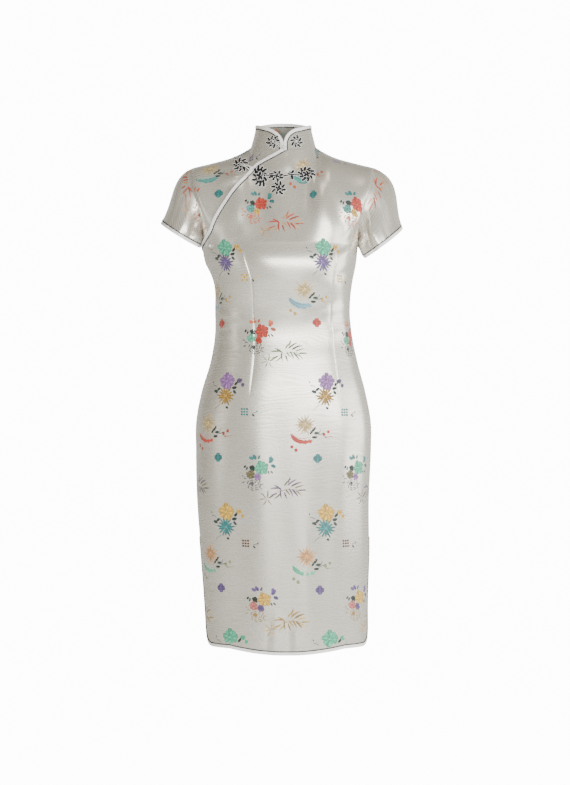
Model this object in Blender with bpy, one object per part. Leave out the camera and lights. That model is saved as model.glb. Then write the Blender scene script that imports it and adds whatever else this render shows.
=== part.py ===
"""Fitted knee-length cheongsam of white satin, worn shape, hollow.

Metres, +Z up, the front faces -Y, the wearer's right is -X.
Every cloth piece is a thin wall between a lofted sheet and the same sheet set in by the cloth's thickness.
"""

import math

import bpy
import numpy as np
from mathutils import Vector
from mathutils.bvhtree import BVHTree

OBJECT_NAME = "cheongsam_dress"

# Cloth and trim thicknesses
WALL = 0.0014
GAP = 0.0003
HALF_GAP = 0.00015
ARMHOLE_GAP = 0.0004
LAP_RAISE = 0.0025
BINDING_WIDTH = 0.0056
PIPING_RADIUS = 0.0009
PIPING_SINK = 0.0003
BINDING_START = GAP + 2 * PIPING_RADIUS + GAP
EDGE_WIDTH = BINDING_START + BINDING_WIDTH
BINDING_BELOW = -0.0013
BINDING_EDGE_IN = 0.0002
BINDING_EDGE_UP = -0.0004
BINDING_CREST_IN = 0.0030
BINDING_CREST_UP = 0.0006
BINDING_SEAM_UP = 0.0002
BINDING_SECTION = [
    (BINDING_START, BINDING_BELOW),
    (EDGE_WIDTH - BINDING_EDGE_IN, BINDING_BELOW),
    (EDGE_WIDTH, BINDING_EDGE_UP),
    (BINDING_START + BINDING_CREST_IN, BINDING_CREST_UP),
    (BINDING_START, BINDING_SEAM_UP),
]

# Body sizes, and how its depth and height run from the underarm sections to neck and shoulder
ARMPIT = -0.170
SHOULDER_HALF = 0.177
NECK_HALF = 0.064
NECK_FRONT = 0.060
NECK_BACK = 0.056
NECK_CENTRE = -0.003
NECK_SIDE_HEIGHT = 0.024
NECK_FRONT_HEIGHT = 0.010
NECK_BACK_HEIGHT = 0.036
NECK_SPREAD = 0.36
SHOULDER_POINT_HEIGHT = -0.016
SECTION_ROUNDNESS = 0.85
FRONT_DIP_POWER = 2.2
BACK_DIP_POWER = 2.0
FRONT_TOP_POWER = 1.6
BACK_TOP_POWER = 1.2
TOP_POWER = 3
BEND_FROM = 0.15
BEND_OVER = 0.40
BACK_BEND = 0.5
BULGE_POWER = 6
NORMAL_STEP = 0.004
FOLD_FADE = 0.6
SIDE_FADE = 0.12
HEM_CENTRE = -0.9565
HEM_RISE = 0.010
HEM_RISE_AT = 0.12
SLIT_TOP = -0.735
SLIT_NOTCH = 0.002
CORNER_RADIUS = 0.026

# Level sections of the body, hem upwards
RINGS = np.array(
    [
        (-0.960, 0.005, 0.1580, 0.100, 0.108),
        (-0.860, 0.002, 0.1600, 0.102, 0.110),
        (-0.770, 0.000, 0.1645, 0.105, 0.115),
        (-0.660, -0.004, 0.1685, 0.108, 0.122),
        (-0.565, -0.003, 0.1715, 0.108, 0.130),
        (-0.517, -0.003, 0.1715, 0.107, 0.130),
        (-0.455, -0.003, 0.1605, 0.104, 0.118),
        (-0.392, -0.002, 0.1430, 0.097, 0.100),
        (-0.345, -0.003, 0.1345, 0.092, 0.090),
        (-0.298, -0.005, 0.1320, 0.097, 0.086),
        (-0.240, -0.004, 0.1360, 0.120, 0.092),
        (-0.205, -0.007, 0.1460, 0.124, 0.098),
        (-0.170, -0.009, 0.1515, 0.117, 0.104),
    ],
    dtype=[("height", float), ("centre", float), ("half_width", float), ("front", float), ("back", float)],
)

# Armhole edge by share of the way from underarm to shoulder point
ARMHOLE = np.array(
    [
        (0.00, 0.1515, 0.000, 0.000),
        (0.12, 0.1510, 0.030, 0.028),
        (0.25, 0.1570, 0.044, 0.038),
        (0.45, 0.1700, 0.046, 0.040),
        (0.70, 0.1755, 0.031, 0.030),
        (1.00, 0.1770, 0.000, 0.000),
    ],
    dtype=[("share", float), ("half_width", float), ("front", float), ("back", float)],
)

# Height of the shoulder line by share of the shoulder half width
SHOULDER_LINE = np.array(
    [
        (0.3616, 0.0240),
        (0.45, 0.0145),
        (0.57, 0.0045),
        (0.76, -0.0055),
        (1.00, -0.0160),
    ],
    dtype=[("share", float), ("height", float)],
)

# Curved lapping edge of the main front, seen from the front
OVERLAP_EDGE = np.array(
    [
        (-0.1790, -1.000),
        (-0.1700, -0.830),
        (-0.1568, -0.715),
        (-0.1294, -0.600),
        (-0.0941, -0.445),
        (-0.0588, -0.305),
        (-0.0353, -0.215),
        (-0.0196, -0.165),
        (-0.0039, -0.060),
        (0.0100, 0.025),
    ],
    dtype=[("height", float), ("across", float)],
)

# Front slit edge, how far its finished edge stands off the side line
SLIT_EDGE = np.array(
    [
        (-0.960, 0.015, 0.006),
        (-0.914, 0.013, 0.006),
        (-0.868, 0.009, 0.005),
        (-0.800, 0.007, 0.004),
        (-0.735, HALF_GAP, HALF_GAP),
        (-0.700, HALF_GAP, HALF_GAP),
    ],
    dtype=[("height", float), ("front", float), ("back", float)],
)

# Long darts, across the front by height
DARTS = np.array(
    [
        (-0.470, -0.255, 0.455),
        (-0.390, -0.265, 0.475),
        (-0.300, -0.276, 0.500),
        (-0.240, -0.295, 0.505),
        (-0.180, -0.320, 0.505),
    ],
    dtype=[("height", float), ("right", float), ("left", float)],
)
DART_RIGHT = -0.276
DART_LEFT = 0.500
DART_DEPTH = 0.0012
DART_WIDTH = 0.006
DART_FOOT = -0.470
DART_FOOT_FADE = 0.06
DART_TOP = -0.175
DART_TOP_FADE = 0.05
DART_SHIFT_FROM = -0.62
DART_SHIFT_OVER = 0.12
ARC_OF_ACROSS = 0.21

# Soft folds of the front, both ends as seen from the front
FRONT_FOLDS = np.array(
    [
        (0.022, -0.055, 0.032, -0.130, 0.014, 0.0020),
        (0.040, -0.050, 0.052, -0.150, 0.013, -0.0014),
        (0.002, 0.000, 0.004, -0.030, 0.008, 0.0014),
        (-0.125, -0.046, -0.092, -0.042, 0.008, 0.0018),
        (-0.125, -0.030, -0.085, -0.027, 0.007, -0.0012),
        (0.150, -0.150, 0.105, -0.200, 0.010, 0.0018),
        (-0.130, -0.325, -0.085, -0.345, 0.009, 0.0014),
        (-0.128, -0.350, -0.080, -0.362, 0.009, 0.0012),
        (0.125, -0.330, 0.085, -0.350, 0.009, 0.0012),
        (0.036, -0.700, 0.042, -0.930, 0.020, 0.0024),
        (-0.016, -0.880, -0.020, -0.950, 0.010, 0.0016),
        (0.006, -0.890, 0.008, -0.952, 0.009, -0.0016),
        (-0.095, -0.640, -0.085, -0.900, 0.022, -0.0020),
    ],
    dtype=[("x0", float), ("z0", float), ("x1", float), ("z1", float), ("width", float), ("height", float)],
)

# Soft folds of the back, both ends as seen from behind with x as in the frame
BACK_FOLDS = np.array(
    [
        (-0.100, -0.285, 0.090, -0.292, 0.012, 0.0022),
        (-0.090, -0.322, 0.100, -0.315, 0.012, 0.0018),
        (-0.110, -0.120, -0.060, -0.170, 0.014, 0.0018),
        (0.112, -0.118, 0.064, -0.172, 0.014, 0.0018),
        (-0.055, -0.640, -0.060, -0.920, 0.020, 0.0024),
        (0.052, -0.650, 0.050, -0.930, 0.022, -0.0022),
        (0.110, -0.600, 0.105, -0.880, 0.020, 0.0018),
    ],
    dtype=[("x0", float), ("z0", float), ("x1", float), ("z1", float), ("width", float), ("height", float)],
)

# Finished sleeve hems seen from the front, side is the sign of X
SLEEVES = {
    "right": {"side": -1.0, "outer": (-0.2440, -0.1240), "inner": (-0.1660, -0.1720), "fullness": 0.06},
    "left": {"side": 1.0, "outer": (0.2330, -0.1330), "inner": (0.1560, -0.1920), "fullness": 0.36},
}
SLEEVE_HALF_DEPTH = 0.060
SLEEVE_FRONT_DROP = 0.007
SLEEVE_BACK_LIFT = 0.002
SLEEVE_ROWS = 7
SLEEVE_DROP = 0.36
SLEEVE_DROP_UNDERARM = 0.69
SLEEVE_REACH = 0.38
SLEEVE_REACH_FULL = 0.3
SLEEVE_HEM_REACH = 0.42
SLEEVE_HEM_SPREAD = 0.9
SLEEVE_FULL_FROM = 0.4
SLEEVE_FOLD_GROW = 0.5
SLEEVE_FOLD_EASE = 0.35
SLEEVE_FOLD_EASE_FROM = 0.7

# Soft folds of the sleeves by share of the way round from underarm to shoulder
SLEEVE_FOLDS = np.array(
    [
        (1.0, -1.0, 0.17, 0.050, 0.0050),
        (1.0, -1.0, 0.30, 0.045, -0.0045),
        (1.0, -1.0, 0.42, 0.050, 0.0035),
        (1.0, 1.0, 0.22, 0.060, 0.0040),
        (1.0, 1.0, 0.38, 0.060, -0.0035),
        (-1.0, -1.0, 0.20, 0.055, 0.0045),
        (-1.0, -1.0, 0.36, 0.060, -0.0035),
        (-1.0, 1.0, 0.24, 0.060, 0.0040),
        (-1.0, 1.0, 0.40, 0.060, -0.0030),
    ],
    dtype=[("sleeve", float), ("face", float), ("around", float), ("width", float), ("height", float)],
)

# Grid lines of the body panels
LOWER_LEVELS = [0.0, -0.004, -0.0085, -0.022, -0.045, -0.070, -0.098, -0.128, -0.158, -0.188, -0.220]
LOWER_LEVELS += [-0.255, -0.290, -0.325, -0.365, -0.410, -0.460, -0.512, -0.565, -0.568, -0.600, -0.645, -0.695]
UPPER_LEVELS = [0.03, 0.07, 0.12, 0.19, 0.27, 0.36, 0.46, 0.56, 0.66, 0.76, 0.85, 0.93, 1.0]
BACK_UPPER_LEVELS = [0.07, 0.17, 0.30, 0.44, 0.58, 0.72, 0.86, 1.0]
CORNER_ROWS = 3
RIM_COLUMNS = (0.02, 0.0765, 0.153)
UNDERLAP_LEVELS = [-0.022, -0.0085, -0.004, 0.0]
UNDERLAP_COLUMNS = 13
UNDERLAP_NECK_COLUMNS = 6
UNDERLAP_REACH = 0.036
BACK_COLUMNS = 17
BACK_NECK_COLUMNS = 5
NECK_COLUMNS = 7
NECK_ACROSS = math.asin(NECK_HALF / SHOULDER_HALF) * 2 / math.pi
OVERLAP_START = -0.009
LAP_TILT = 0.13
LAP_FLAT = 0.020
LAP_RAMP = 0.030
LAP_FADE_FROM = -0.062
LAP_FADE_OVER = 0.030
LAP_OUT = (-0.4, 0.0, 1.0)
LAP_END = 0.72
NECKLINE_FROM = 0.2
UNDERLAP_SLANT = 1.5
BEND_LEAST = 0.7
SLIT_OUT_DROP = 0.3

# Stand collar
COLLAR_HEIGHT = 0.043
COLLAR_FRONT_EDGE = 0.016
COLLAR_CORNER = 0.042
COLLAR_GAP = 0.0004
COLLAR_LEAN = 0.0105
COLLAR_LEAN_FRONT = 0.0060
COLLAR_ROWS = [0.0, 0.3, 0.65, 1.0]
COLLAR_SHORTEST = 0.003
COLLAR_CURVE = 0.25
COLLAR_FRONT_SHARE = 0.5
COLLAR_END_LIFT = 0.2

# Frog fastenings, flowers seen from the front
PETAL_POINTS = 4
PETAL_CUT = 0.42
PETAL_CUT_POWER = 1.3
PETAL_HEIGHT = 0.0020
PETAL_DOME = 1.15
PETAL_VALLEY = 0.45
PETAL_RIM = 0.45
PETAL_RINGS = (0.4, 0.75, 1.0)
PROBE_STEPS = 9
PROBE_START = -1.0
SEAT_SPAN = 0.02
STEM_POINTS = 6
STEM_SECTION = [(-0.0022, 0.0), (0.0022, 0.0), (0.0018, 0.0013), (-0.0018, 0.0013)]
KNOT_SEAT = 0.4
KNOT_SQUASH = 0.75
KNOT_SEGMENTS = 10
KNOT_RINGS = 7
FLOWERS = np.array(
    [
        ("frog_collar_right", -0.0225, 0.0285, 0.0135, 0.0130, 7, 0.3, 0.0004),
        ("frog_collar_left", 0.0225, 0.0285, 0.0120, 0.0130, 7, 0.1, 0.0004),
        ("frog_shoulder", -0.0850, -0.0160, 0.0160, 0.0160, 8, 0.2, 0.0008),
        ("frog_spray_1", -0.0478, -0.0405, 0.0150, 0.0220, 9, 0.0, 0.0005),
        ("frog_spray_2", -0.0165, -0.0400, 0.0150, 0.0105, 7, 0.4, 0.0004),
        ("frog_spray_3", 0.0415, -0.0350, 0.0165, 0.0150, 8, 0.0, 0.0004),
        ("frog_spray_4", -0.0118, -0.0652, 0.0145, 0.0138, 7, 0.2, 0.0004),
        ("frog_leaf", 0.0122, -0.0378, 0.0065, 0.0105, 4, 0.0, 0.0004),
    ],
    dtype=[
        ("name", "U24"),
        ("x", float),
        ("z", float),
        ("half_width", float),
        ("half_height", float),
        ("petals", float),
        ("turn", float),
        ("lift", float),
    ],
)
STEMS = np.array(
    [
        ("frog_stem", 0.0195, -0.0376, 0.0243, -0.0352, 0.0, 0.0005),
    ],
    dtype=[
        ("name", "U24"),
        ("x0", float),
        ("z0", float),
        ("x1", float),
        ("z1", float),
        ("sag", float),
        ("lift", float),
    ],
)
KNOTS = np.array(
    [
        ("knot_collar", -0.0030, 0.0165, 0.0034, 0.0004),
        ("knot_shoulder", -0.0655, -0.0245, 0.0034, 0.0004),
        ("knot_underarm", -0.1440, -0.1740, 0.0034, 0.0014),
    ],
    dtype=[("name", "U24"), ("x", float), ("z", float), ("radius", float), ("lift", float)],
)

# Looks of the pieces: base colour, roughness and metallic value
SATIN = {"colour": (0.80, 0.78, 0.73, 1.0), "roughness": 0.32, "metallic": 0.0}
WHITE = {"colour": (0.90, 0.89, 0.86, 1.0), "roughness": 0.35, "metallic": 0.0}
PIPING = {"colour": (0.015, 0.015, 0.018, 1.0), "roughness": 0.45, "metallic": 0.0}
FROG = {"colour": (0.015, 0.015, 0.018, 1.0), "roughness": 0.55, "metallic": 0.0}
KNOT = {"colour": (0.90, 0.89, 0.86, 1.0), "roughness": 0.40, "metallic": 0.0}


def clear_scene():
    """Removes every object, so that the file starts empty."""
    for item in list(bpy.data.objects):
        bpy.data.objects.remove(item, do_unlink=True)


def make_material(name, look):
    """A piece's own plain Principled material."""
    material = bpy.data.materials.new(name + "_material")
    material.use_nodes = True
    shader = material.node_tree.nodes["Principled BSDF"]
    shader.inputs["Base Color"].default_value = look["colour"]
    shader.inputs["Roughness"].default_value = look["roughness"]
    shader.inputs["Metallic"].default_value = look["metallic"]
    material.diffuse_color = look["colour"]
    return material


def follow(table, key, column, where):
    """A smooth curve through the rows of a table, a cubic between two rows."""
    known = table[key]
    values = table[column]
    slopes = np.gradient(values, known)
    where = np.clip(np.asarray(where, dtype=float), known[0], known[-1])
    index = np.clip(np.searchsorted(known, where, side="right") - 1, 0, len(known) - 2)
    step = known[index + 1] - known[index]
    share = (where - known[index]) / step
    start = (1 + 2 * share) * (1 - share) ** 2
    leave = share * (1 - share) ** 2
    end = share**2 * (3 - 2 * share)
    arrive = share**2 * (share - 1)
    result = start * values[index] + end * values[index + 1]
    return result + step * (leave * slopes[index] + arrive * slopes[index + 1])


def ease(value):
    """0 to 1 with level ends."""
    value = np.clip(value, 0.0, 1.0)
    return value * value * (3.0 - 2.0 * value)


def body(across, level, face):
    """A point of the body cloth.

    across runs -1 to 1 between the side lines, level is metres below the underarm when negative
    and the share of the way up to the shoulder and neck line when positive, face is -1 in front
    and 1 behind.
    """
    across = np.asarray(across, dtype=float)
    level = np.asarray(level, dtype=float)
    across, level = np.broadcast_arrays(across, level)
    share = np.clip(level, 0.0, 1.0)
    ring_height = ARMPIT + np.minimum(level, 0.0)
    depth = follow(RINGS, "height", "front" if face < 0 else "back", ring_height)
    half = follow(RINGS, "height", "half_width", ring_height)
    centre = follow(RINGS, "height", "centre", ring_height)
    half = np.where(level > 0, follow(ARMHOLE, "share", "half_width", share), half)
    centre = centre + (NECK_CENTRE - centre) * share
    sine = np.sin(across * math.pi / 2)
    roundness = np.maximum(np.cos(across * math.pi / 2), 0.0) ** SECTION_ROUNDNESS
    to_neck = np.abs(sine) * SHOULDER_HALF / NECK_HALF
    inside = to_neck < 1.0
    neck_depth = np.sqrt(np.maximum(1.0 - to_neck**2, 0.0))
    soft_depth = np.exp(-((sine / NECK_SPREAD) ** 2))
    near_top = share**TOP_POWER
    shoulder = follow(SHOULDER_LINE, "share", "height", np.abs(sine))
    if face < 0:
        dip = NECK_FRONT_HEIGHT + (NECK_SIDE_HEIGHT - NECK_FRONT_HEIGHT) * np.minimum(to_neck, 1.0) ** FRONT_DIP_POWER
        top_depth = NECK_FRONT * (soft_depth + (neck_depth - soft_depth) * near_top)
        bend = ease((np.abs(sine) - BEND_FROM) / BEND_OVER)
        soft_top = NECK_FRONT_HEIGHT + (SHOULDER_POINT_HEIGHT - NECK_FRONT_HEIGHT) * np.abs(sine) ** FRONT_TOP_POWER
    else:
        dip = NECK_BACK_HEIGHT + (NECK_SIDE_HEIGHT - NECK_BACK_HEIGHT) * np.minimum(to_neck, 1.0) ** BACK_DIP_POWER
        top_depth = NECK_BACK * (soft_depth + (neck_depth - soft_depth) * near_top)
        bend = BACK_BEND + (1 - BACK_BEND) * ease((np.abs(sine) - BEND_FROM) / BEND_OVER)
        soft_top = NECK_BACK_HEIGHT + (SHOULDER_POINT_HEIGHT - NECK_BACK_HEIGHT) * np.abs(sine) ** BACK_TOP_POWER
    top = soft_top + (np.where(inside, dip, shoulder) - soft_top) * near_top
    angle = share * math.pi / 2
    rise = (1 - bend) * share + bend * np.sin(angle)
    fall = (1 - bend) * (1 - share) + bend * np.cos(angle)
    bulge = follow(ARMHOLE, "share", "front" if face < 0 else "back", share) * np.abs(sine) ** BULGE_POWER
    out = top_depth + (depth * roundness - top_depth) * fall + bulge
    x = centre + sine * half
    y = face * (out + HALF_GAP)
    z = np.where(level > 0, ARMPIT + (top - ARMPIT) * rise, ring_height)
    return np.stack([x, y, z], axis=-1)


def unit(vectors):
    """Vectors scaled to length one."""
    return vectors / np.linalg.norm(vectors, axis=-1, keepdims=True)


def body_normal(across, level, face):
    """Outward unit normal of the body cloth, from small steps along both of its directions."""
    sideways = np.minimum(across + NORMAL_STEP, 1.0)
    before = np.maximum(across - NORMAL_STEP, -1.0)
    over = body(sideways, level, face) - body(before, level, face)
    high = np.minimum(level + NORMAL_STEP, 1.0)
    up = body(across, high, face) - body(across, level - NORMAL_STEP, face)
    return unit(np.cross(over, up)) * -face


def grid_normals(points):
    """Unit normals of a grid whose last column joins its first."""
    along = np.roll(points, -1, axis=1) - np.roll(points, 1, axis=1)
    up = np.gradient(points, axis=0)
    return unit(np.cross(along, up))


def fold_offset(points, folds):
    """Height of soft folds at points, each a bell across a straight line that fades at its ends."""
    offset = np.zeros(points.shape[:-1])
    for fold in folds:
        start = np.array([fold["x0"], fold["z0"]])
        line = np.array([fold["x1"], fold["z1"]]) - start
        length = np.linalg.norm(line)
        line = line / length
        away = points[..., [0, 2]] - start
        along = away @ line
        sideways = away[..., 0] * line[1] - away[..., 1] * line[0]
        fade = ease(0.5 + along / (FOLD_FADE * length)) * ease(0.5 + (length - along) / (FOLD_FADE * length))
        offset += fold["height"] * np.exp(-((sideways / fold["width"]) ** 2)) * fade
    return offset


def quiet_sides(across):
    """Fades folds out towards the side and armhole seams."""
    return ease((1.0 - np.abs(across)) / SIDE_FADE)


def side_across(level, face):
    """Across value of the cloth edge at the side, set in where the slit has its trim."""
    height = ARMPIT + np.minimum(level, 0.0)
    name = "front" if face < 0 else "back"
    depth = follow(RINGS, "height", name, height)
    finished = follow(SLIT_EDGE, "height", name, height)
    distance = np.where(height < SLIT_TOP - SLIT_NOTCH, finished + EDGE_WIDTH, 0.0)
    ratio = (distance / depth) ** (1.0 / SECTION_ROUNDNESS)
    return 1.0 - np.arcsin(ratio) * 2 / math.pi


def panel_levels(columns, upper, face):
    """Level of each grid point: flat rows, and bent rows over the rounded hem corners."""
    base = HEM_CENTRE + EDGE_WIDTH - ARMPIT
    flat_rows = sorted(LOWER_LEVELS) + list(upper)
    section_depth = RINGS["front" if face < 0 else "back"][0]
    from_edge = (1.0 - np.abs(columns)) * section_depth * math.pi / 2
    corner = CORNER_RADIUS - np.sqrt(CORNER_RADIUS**2 - np.clip(CORNER_RADIUS - from_edge, 0, None) ** 2)
    x_here = np.sin(columns * math.pi / 2) * RINGS["half_width"][0]
    bottom = base + HEM_RISE * np.minimum((x_here / HEM_RISE_AT) ** 2, 1.0) + corner
    rows = []
    for row in range(CORNER_ROWS):
        share = row / CORNER_ROWS
        rows.append(bottom * (1 - share) + flat_rows[0] * share)
    for level in flat_rows:
        rows.append(np.full(len(columns), level))
    return np.array(rows)


def distance_to_line(points, line):
    """Distance of each point from a line of straight pieces."""
    start = line[:-1]
    piece = line[1:] - start
    length = np.linalg.norm(piece, axis=1)
    away = points[..., None, :] - start
    share = np.clip(np.sum(away * piece, axis=-1) / length**2, 0.0, 1.0)
    return np.linalg.norm(away - share[..., None] * piece, axis=-1).min(axis=-1)


def add_object(name, vertices, faces, look, collection):
    """One mesh object from points and faces."""
    mesh = bpy.data.meshes.new(name)
    mesh.from_pydata([tuple(point) for point in vertices], [], faces)
    mesh.update()
    mesh.materials.append(make_material(name, look))
    item = bpy.data.objects.new(name, mesh)
    collection.objects.link(item)
    face_outwards(item)
    return item


def face_outwards(item):
    """Turns the faces of a closed mesh outwards, by the sign of its volume."""
    mesh = item.data
    volume = 0.0
    for polygon in mesh.polygons:
        corners = [mesh.vertices[index].co for index in polygon.vertices]
        for second in range(1, len(corners) - 1):
            volume += corners[0].dot(corners[second].cross(corners[second + 1]))
    if volume < 0:
        mesh.flip_normals()
    mesh.update()


def halves(vertices, quad):
    """The two triangles of a quad, cut along its shorter diagonal."""
    one = np.linalg.norm(vertices[quad[0]] - vertices[quad[2]])
    other = np.linalg.norm(vertices[quad[1]] - vertices[quad[3]])
    if one <= other:
        return (quad[0], quad[1], quad[2]), (quad[0], quad[2], quad[3])
    return (quad[0], quad[1], quad[3]), (quad[1], quad[2], quad[3])


def cloth_wall(name, outer, inwards, look, collection, closed=False):
    """A wall of cloth between a grid of outer points and the same grid set in along inwards."""
    rows, columns = outer.shape[:2]
    count = rows * columns
    inner = outer + inwards * WALL
    vertices = np.concatenate([outer.reshape(-1, 3), inner.reshape(-1, 3)])
    faces = []
    last = columns if closed else columns - 1
    for row in range(rows - 1):
        for column in range(last):
            after = (column + 1) % columns
            low = row * columns
            high = low + columns
            quad = (low + column, low + after, high + after, high + column)
            for corners in halves(vertices, quad):
                faces.append(corners)
                faces.append(tuple(index + count for index in reversed(corners)))
    ring = [(0, column) for column in range(columns)]
    if closed:
        rims = [ring + [ring[0]], [(rows - 1, column) for _, column in ring] + [(rows - 1, 0)]]
        rims[1].reverse()
    else:
        ring += [(row, columns - 1) for row in range(1, rows)]
        ring += [(rows - 1, column) for column in range(columns - 2, -1, -1)]
        ring += [(row, 0) for row in range(rows - 2, 0, -1)]
        rims = [ring + [ring[0]]]
    for rim in rims:
        for first, second in zip(rim[:-1], rim[1:]):
            one = first[0] * columns + first[1]
            two = second[0] * columns + second[1]
            faces.append((two, one, one + count, two + count))
    return add_object(name, vertices, faces, look, collection)


def sweep(name, line, outs, normals, section, look, collection, closed=False):
    """A strip along a line: a closed section of (out, up) sizes set on each point."""
    count = len(line)
    sides = len(section)
    vertices = []
    for index in range(count):
        for out, up in section:
            vertices.append(line[index] + outs[index] * out + normals[index] * up)
    faces = []
    last = count if closed else count - 1
    for index in range(last):
        after = (index + 1) % count
        for side in range(sides):
            other = (side + 1) % sides
            faces.append((index * sides + side, index * sides + other, after * sides + other, after * sides + side))
    if not closed:
        faces.append(tuple(reversed(range(sides))))
        faces.append(tuple(range((count - 1) * sides, count * sides)))
    return add_object(name, vertices, faces, look, collection)


def cord(name, line, radius, look, collection, closed=False):
    """A round cord along a line of points."""
    curve = bpy.data.curves.new(name, "CURVE")
    curve.dimensions = "3D"
    curve.bevel_depth = radius
    curve.bevel_resolution = 0
    curve.use_fill_caps = not closed
    spline = curve.splines.new("POLY")
    spline.points.add(len(line) - 1)
    for point, place in zip(spline.points, line):
        point.co = (place[0], place[1], place[2], 1.0)
    spline.use_cyclic_u = closed
    curve.materials.append(make_material(name, look))
    item = bpy.data.objects.new(name, curve)
    collection.objects.link(item)
    return item


def edge_outs(line, normals, towards, closed=False):
    """Directions that leave an edge line squarely in the cloth, longer at a bend so the trim keeps its width."""
    if closed:
        ahead = np.roll(line, -1, axis=0) - line
        behind = line - np.roll(line, 1, axis=0)
    else:
        ahead = np.diff(line, axis=0, append=line[-1:] * 2 - line[-2:-1])
        behind = np.diff(line, axis=0, prepend=line[:1] * 2 - line[1:2])
    first = unit(np.cross(unit(ahead), normals))
    second = unit(np.cross(unit(behind), normals))
    out = unit(first + second)
    out = out / np.clip(np.sum(out * first, axis=-1, keepdims=True), BEND_LEAST, 1.0)
    turn = np.where(np.sum(out * towards, axis=-1, keepdims=True) < 0, -1.0, 1.0)
    return out * turn


def trim_edge(label, line, normals, outs, collection, closed=False):
    """Piping and then binding along a cloth edge."""
    cord_line = line + outs * (GAP + PIPING_RADIUS) - normals * PIPING_SINK
    cord("piping_" + label, cord_line, PIPING_RADIUS, PIPING, collection, closed)
    sweep("binding_" + label, line, outs, normals, BINDING_SECTION, WHITE, collection, closed)


def front_columns():
    """Column places of the main front: close at the edges, even between the darts."""
    rim = [1.0, 1 - RIM_COLUMNS[0], 1 - RIM_COLUMNS[1]]
    inner = [
        np.linspace(-1 + RIM_COLUMNS[2], DART_RIGHT, 7)[:-1],
        np.linspace(DART_RIGHT, DART_LEFT, 10)[:-1],
        np.linspace(DART_LEFT, 1 - RIM_COLUMNS[2], 5),
    ]
    return np.concatenate([[-value for value in rim]] + inner + [rim[::-1]])


def overlap_across(level):
    """Across value of the lapping edge at each level, found by height along the edge table."""
    level = np.atleast_1d(np.asarray(level, dtype=float))
    guess = np.interp(level, [OVERLAP_START, 1.0], [-1.0, OVERLAP_EDGE["across"][-1]])
    for _ in range(60):
        height = body(guess, level, -1)[..., 2]
        guess = guess + 0.5 * (follow(OVERLAP_EDGE, "height", "across", height) - guess)
    return guess


def dart_groove(points, across):
    """Depth of the two long dart seams, a narrow trough that runs out at both points."""
    height = points[..., 2]
    fade = ease((height - DART_FOOT) / DART_FOOT_FADE) * ease((DART_TOP - height) / DART_TOP_FADE)
    groove = np.zeros(points.shape[:-1])
    for side in ("right", "left"):
        away = (across - follow(DARTS, "height", side, height)) * ARC_OF_ACROSS
        groove += DART_DEPTH * np.exp(-((away / DART_WIDTH) ** 2)) * fade
    return groove


def main_front_grid():
    """Across and level of each point of the main front, and the first row of its lapping edge."""
    columns = front_columns()
    levels = panel_levels(columns, UPPER_LEVELS, -1)
    across = np.zeros_like(levels)
    upper_from = int(np.argmax(levels[:, 0] >= OVERLAP_START))
    for row, level in enumerate(levels):
        if row < upper_from:
            height = ARMPIT + level[0]
            weight = float(ease((height - DART_SHIFT_FROM) / DART_SHIFT_OVER))
            right = DART_RIGHT + (float(follow(DARTS, "height", "right", height)) - DART_RIGHT) * weight
            left = DART_LEFT + (float(follow(DARTS, "height", "left", height)) - DART_LEFT) * weight
            placed = np.interp(columns, [-1, DART_RIGHT, DART_LEFT, 1], [-1, right, left, 1])
            across[row] = placed * side_across(level, -1)
        else:
            left = float(overlap_across(level[0])[0])
            share = (columns + 1) / 2
            kept = share[NECK_COLUMNS]
            low = left + (1 - left) * share
            across[row] = to_neckline(low, share, [0, kept, 1], [left, NECK_ACROSS, 1], level[0])
    return across, levels, upper_from


def to_neckline(low, share, known, wanted, level):
    """Moves the columns of a row, as the row rises, to places even in width with one on each neck corner."""
    widths = np.sin(np.array(wanted, dtype=float) * math.pi / 2)
    high = np.arcsin(np.clip(np.interp(share, known, widths), -1, 1)) * 2 / math.pi
    return low + (high - low) * float(ease((level - NECKLINE_FROM) / (1 - NECKLINE_FROM)))


def build_front(collection, armholes):
    """Main front; returns its outer points, normals and the first row of its lapping edge."""
    across, levels, upper_from = main_front_grid()
    points = body(across, levels, -1)
    normals = body_normal(across, levels, -1)
    edge = points[upper_from:, 0]
    near = distance_to_line(points, edge)
    lap = LAP_RAISE * ease(1.0 - (near - LAP_FLAT) / LAP_RAMP) * ease((levels - LAP_FADE_FROM) / LAP_FADE_OVER)
    shift = (fold_offset(points, FRONT_FOLDS) - dart_groove(points, across)) * quiet_sides(across) + lap
    outer = points + normals * shift[..., None]
    inwards = -normals.copy()
    inwards[:upper_from, 0, 1] = 0.0
    inwards[:, -1, 1] = 0.0
    shoulder = np.abs(across[-1]) >= NECK_ACROSS - 1e-6
    inwards[-1, shoulder, 1] = 0.0
    inwards = unit(inwards)
    first = int(np.argmax(levels[:, -1] >= 0.0))
    inwards[first:, -1] = armholes["left"]["front"]
    cloth_wall("front_main", outer, inwards, SATIN, collection)
    return outer, normals, upper_from, across


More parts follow.
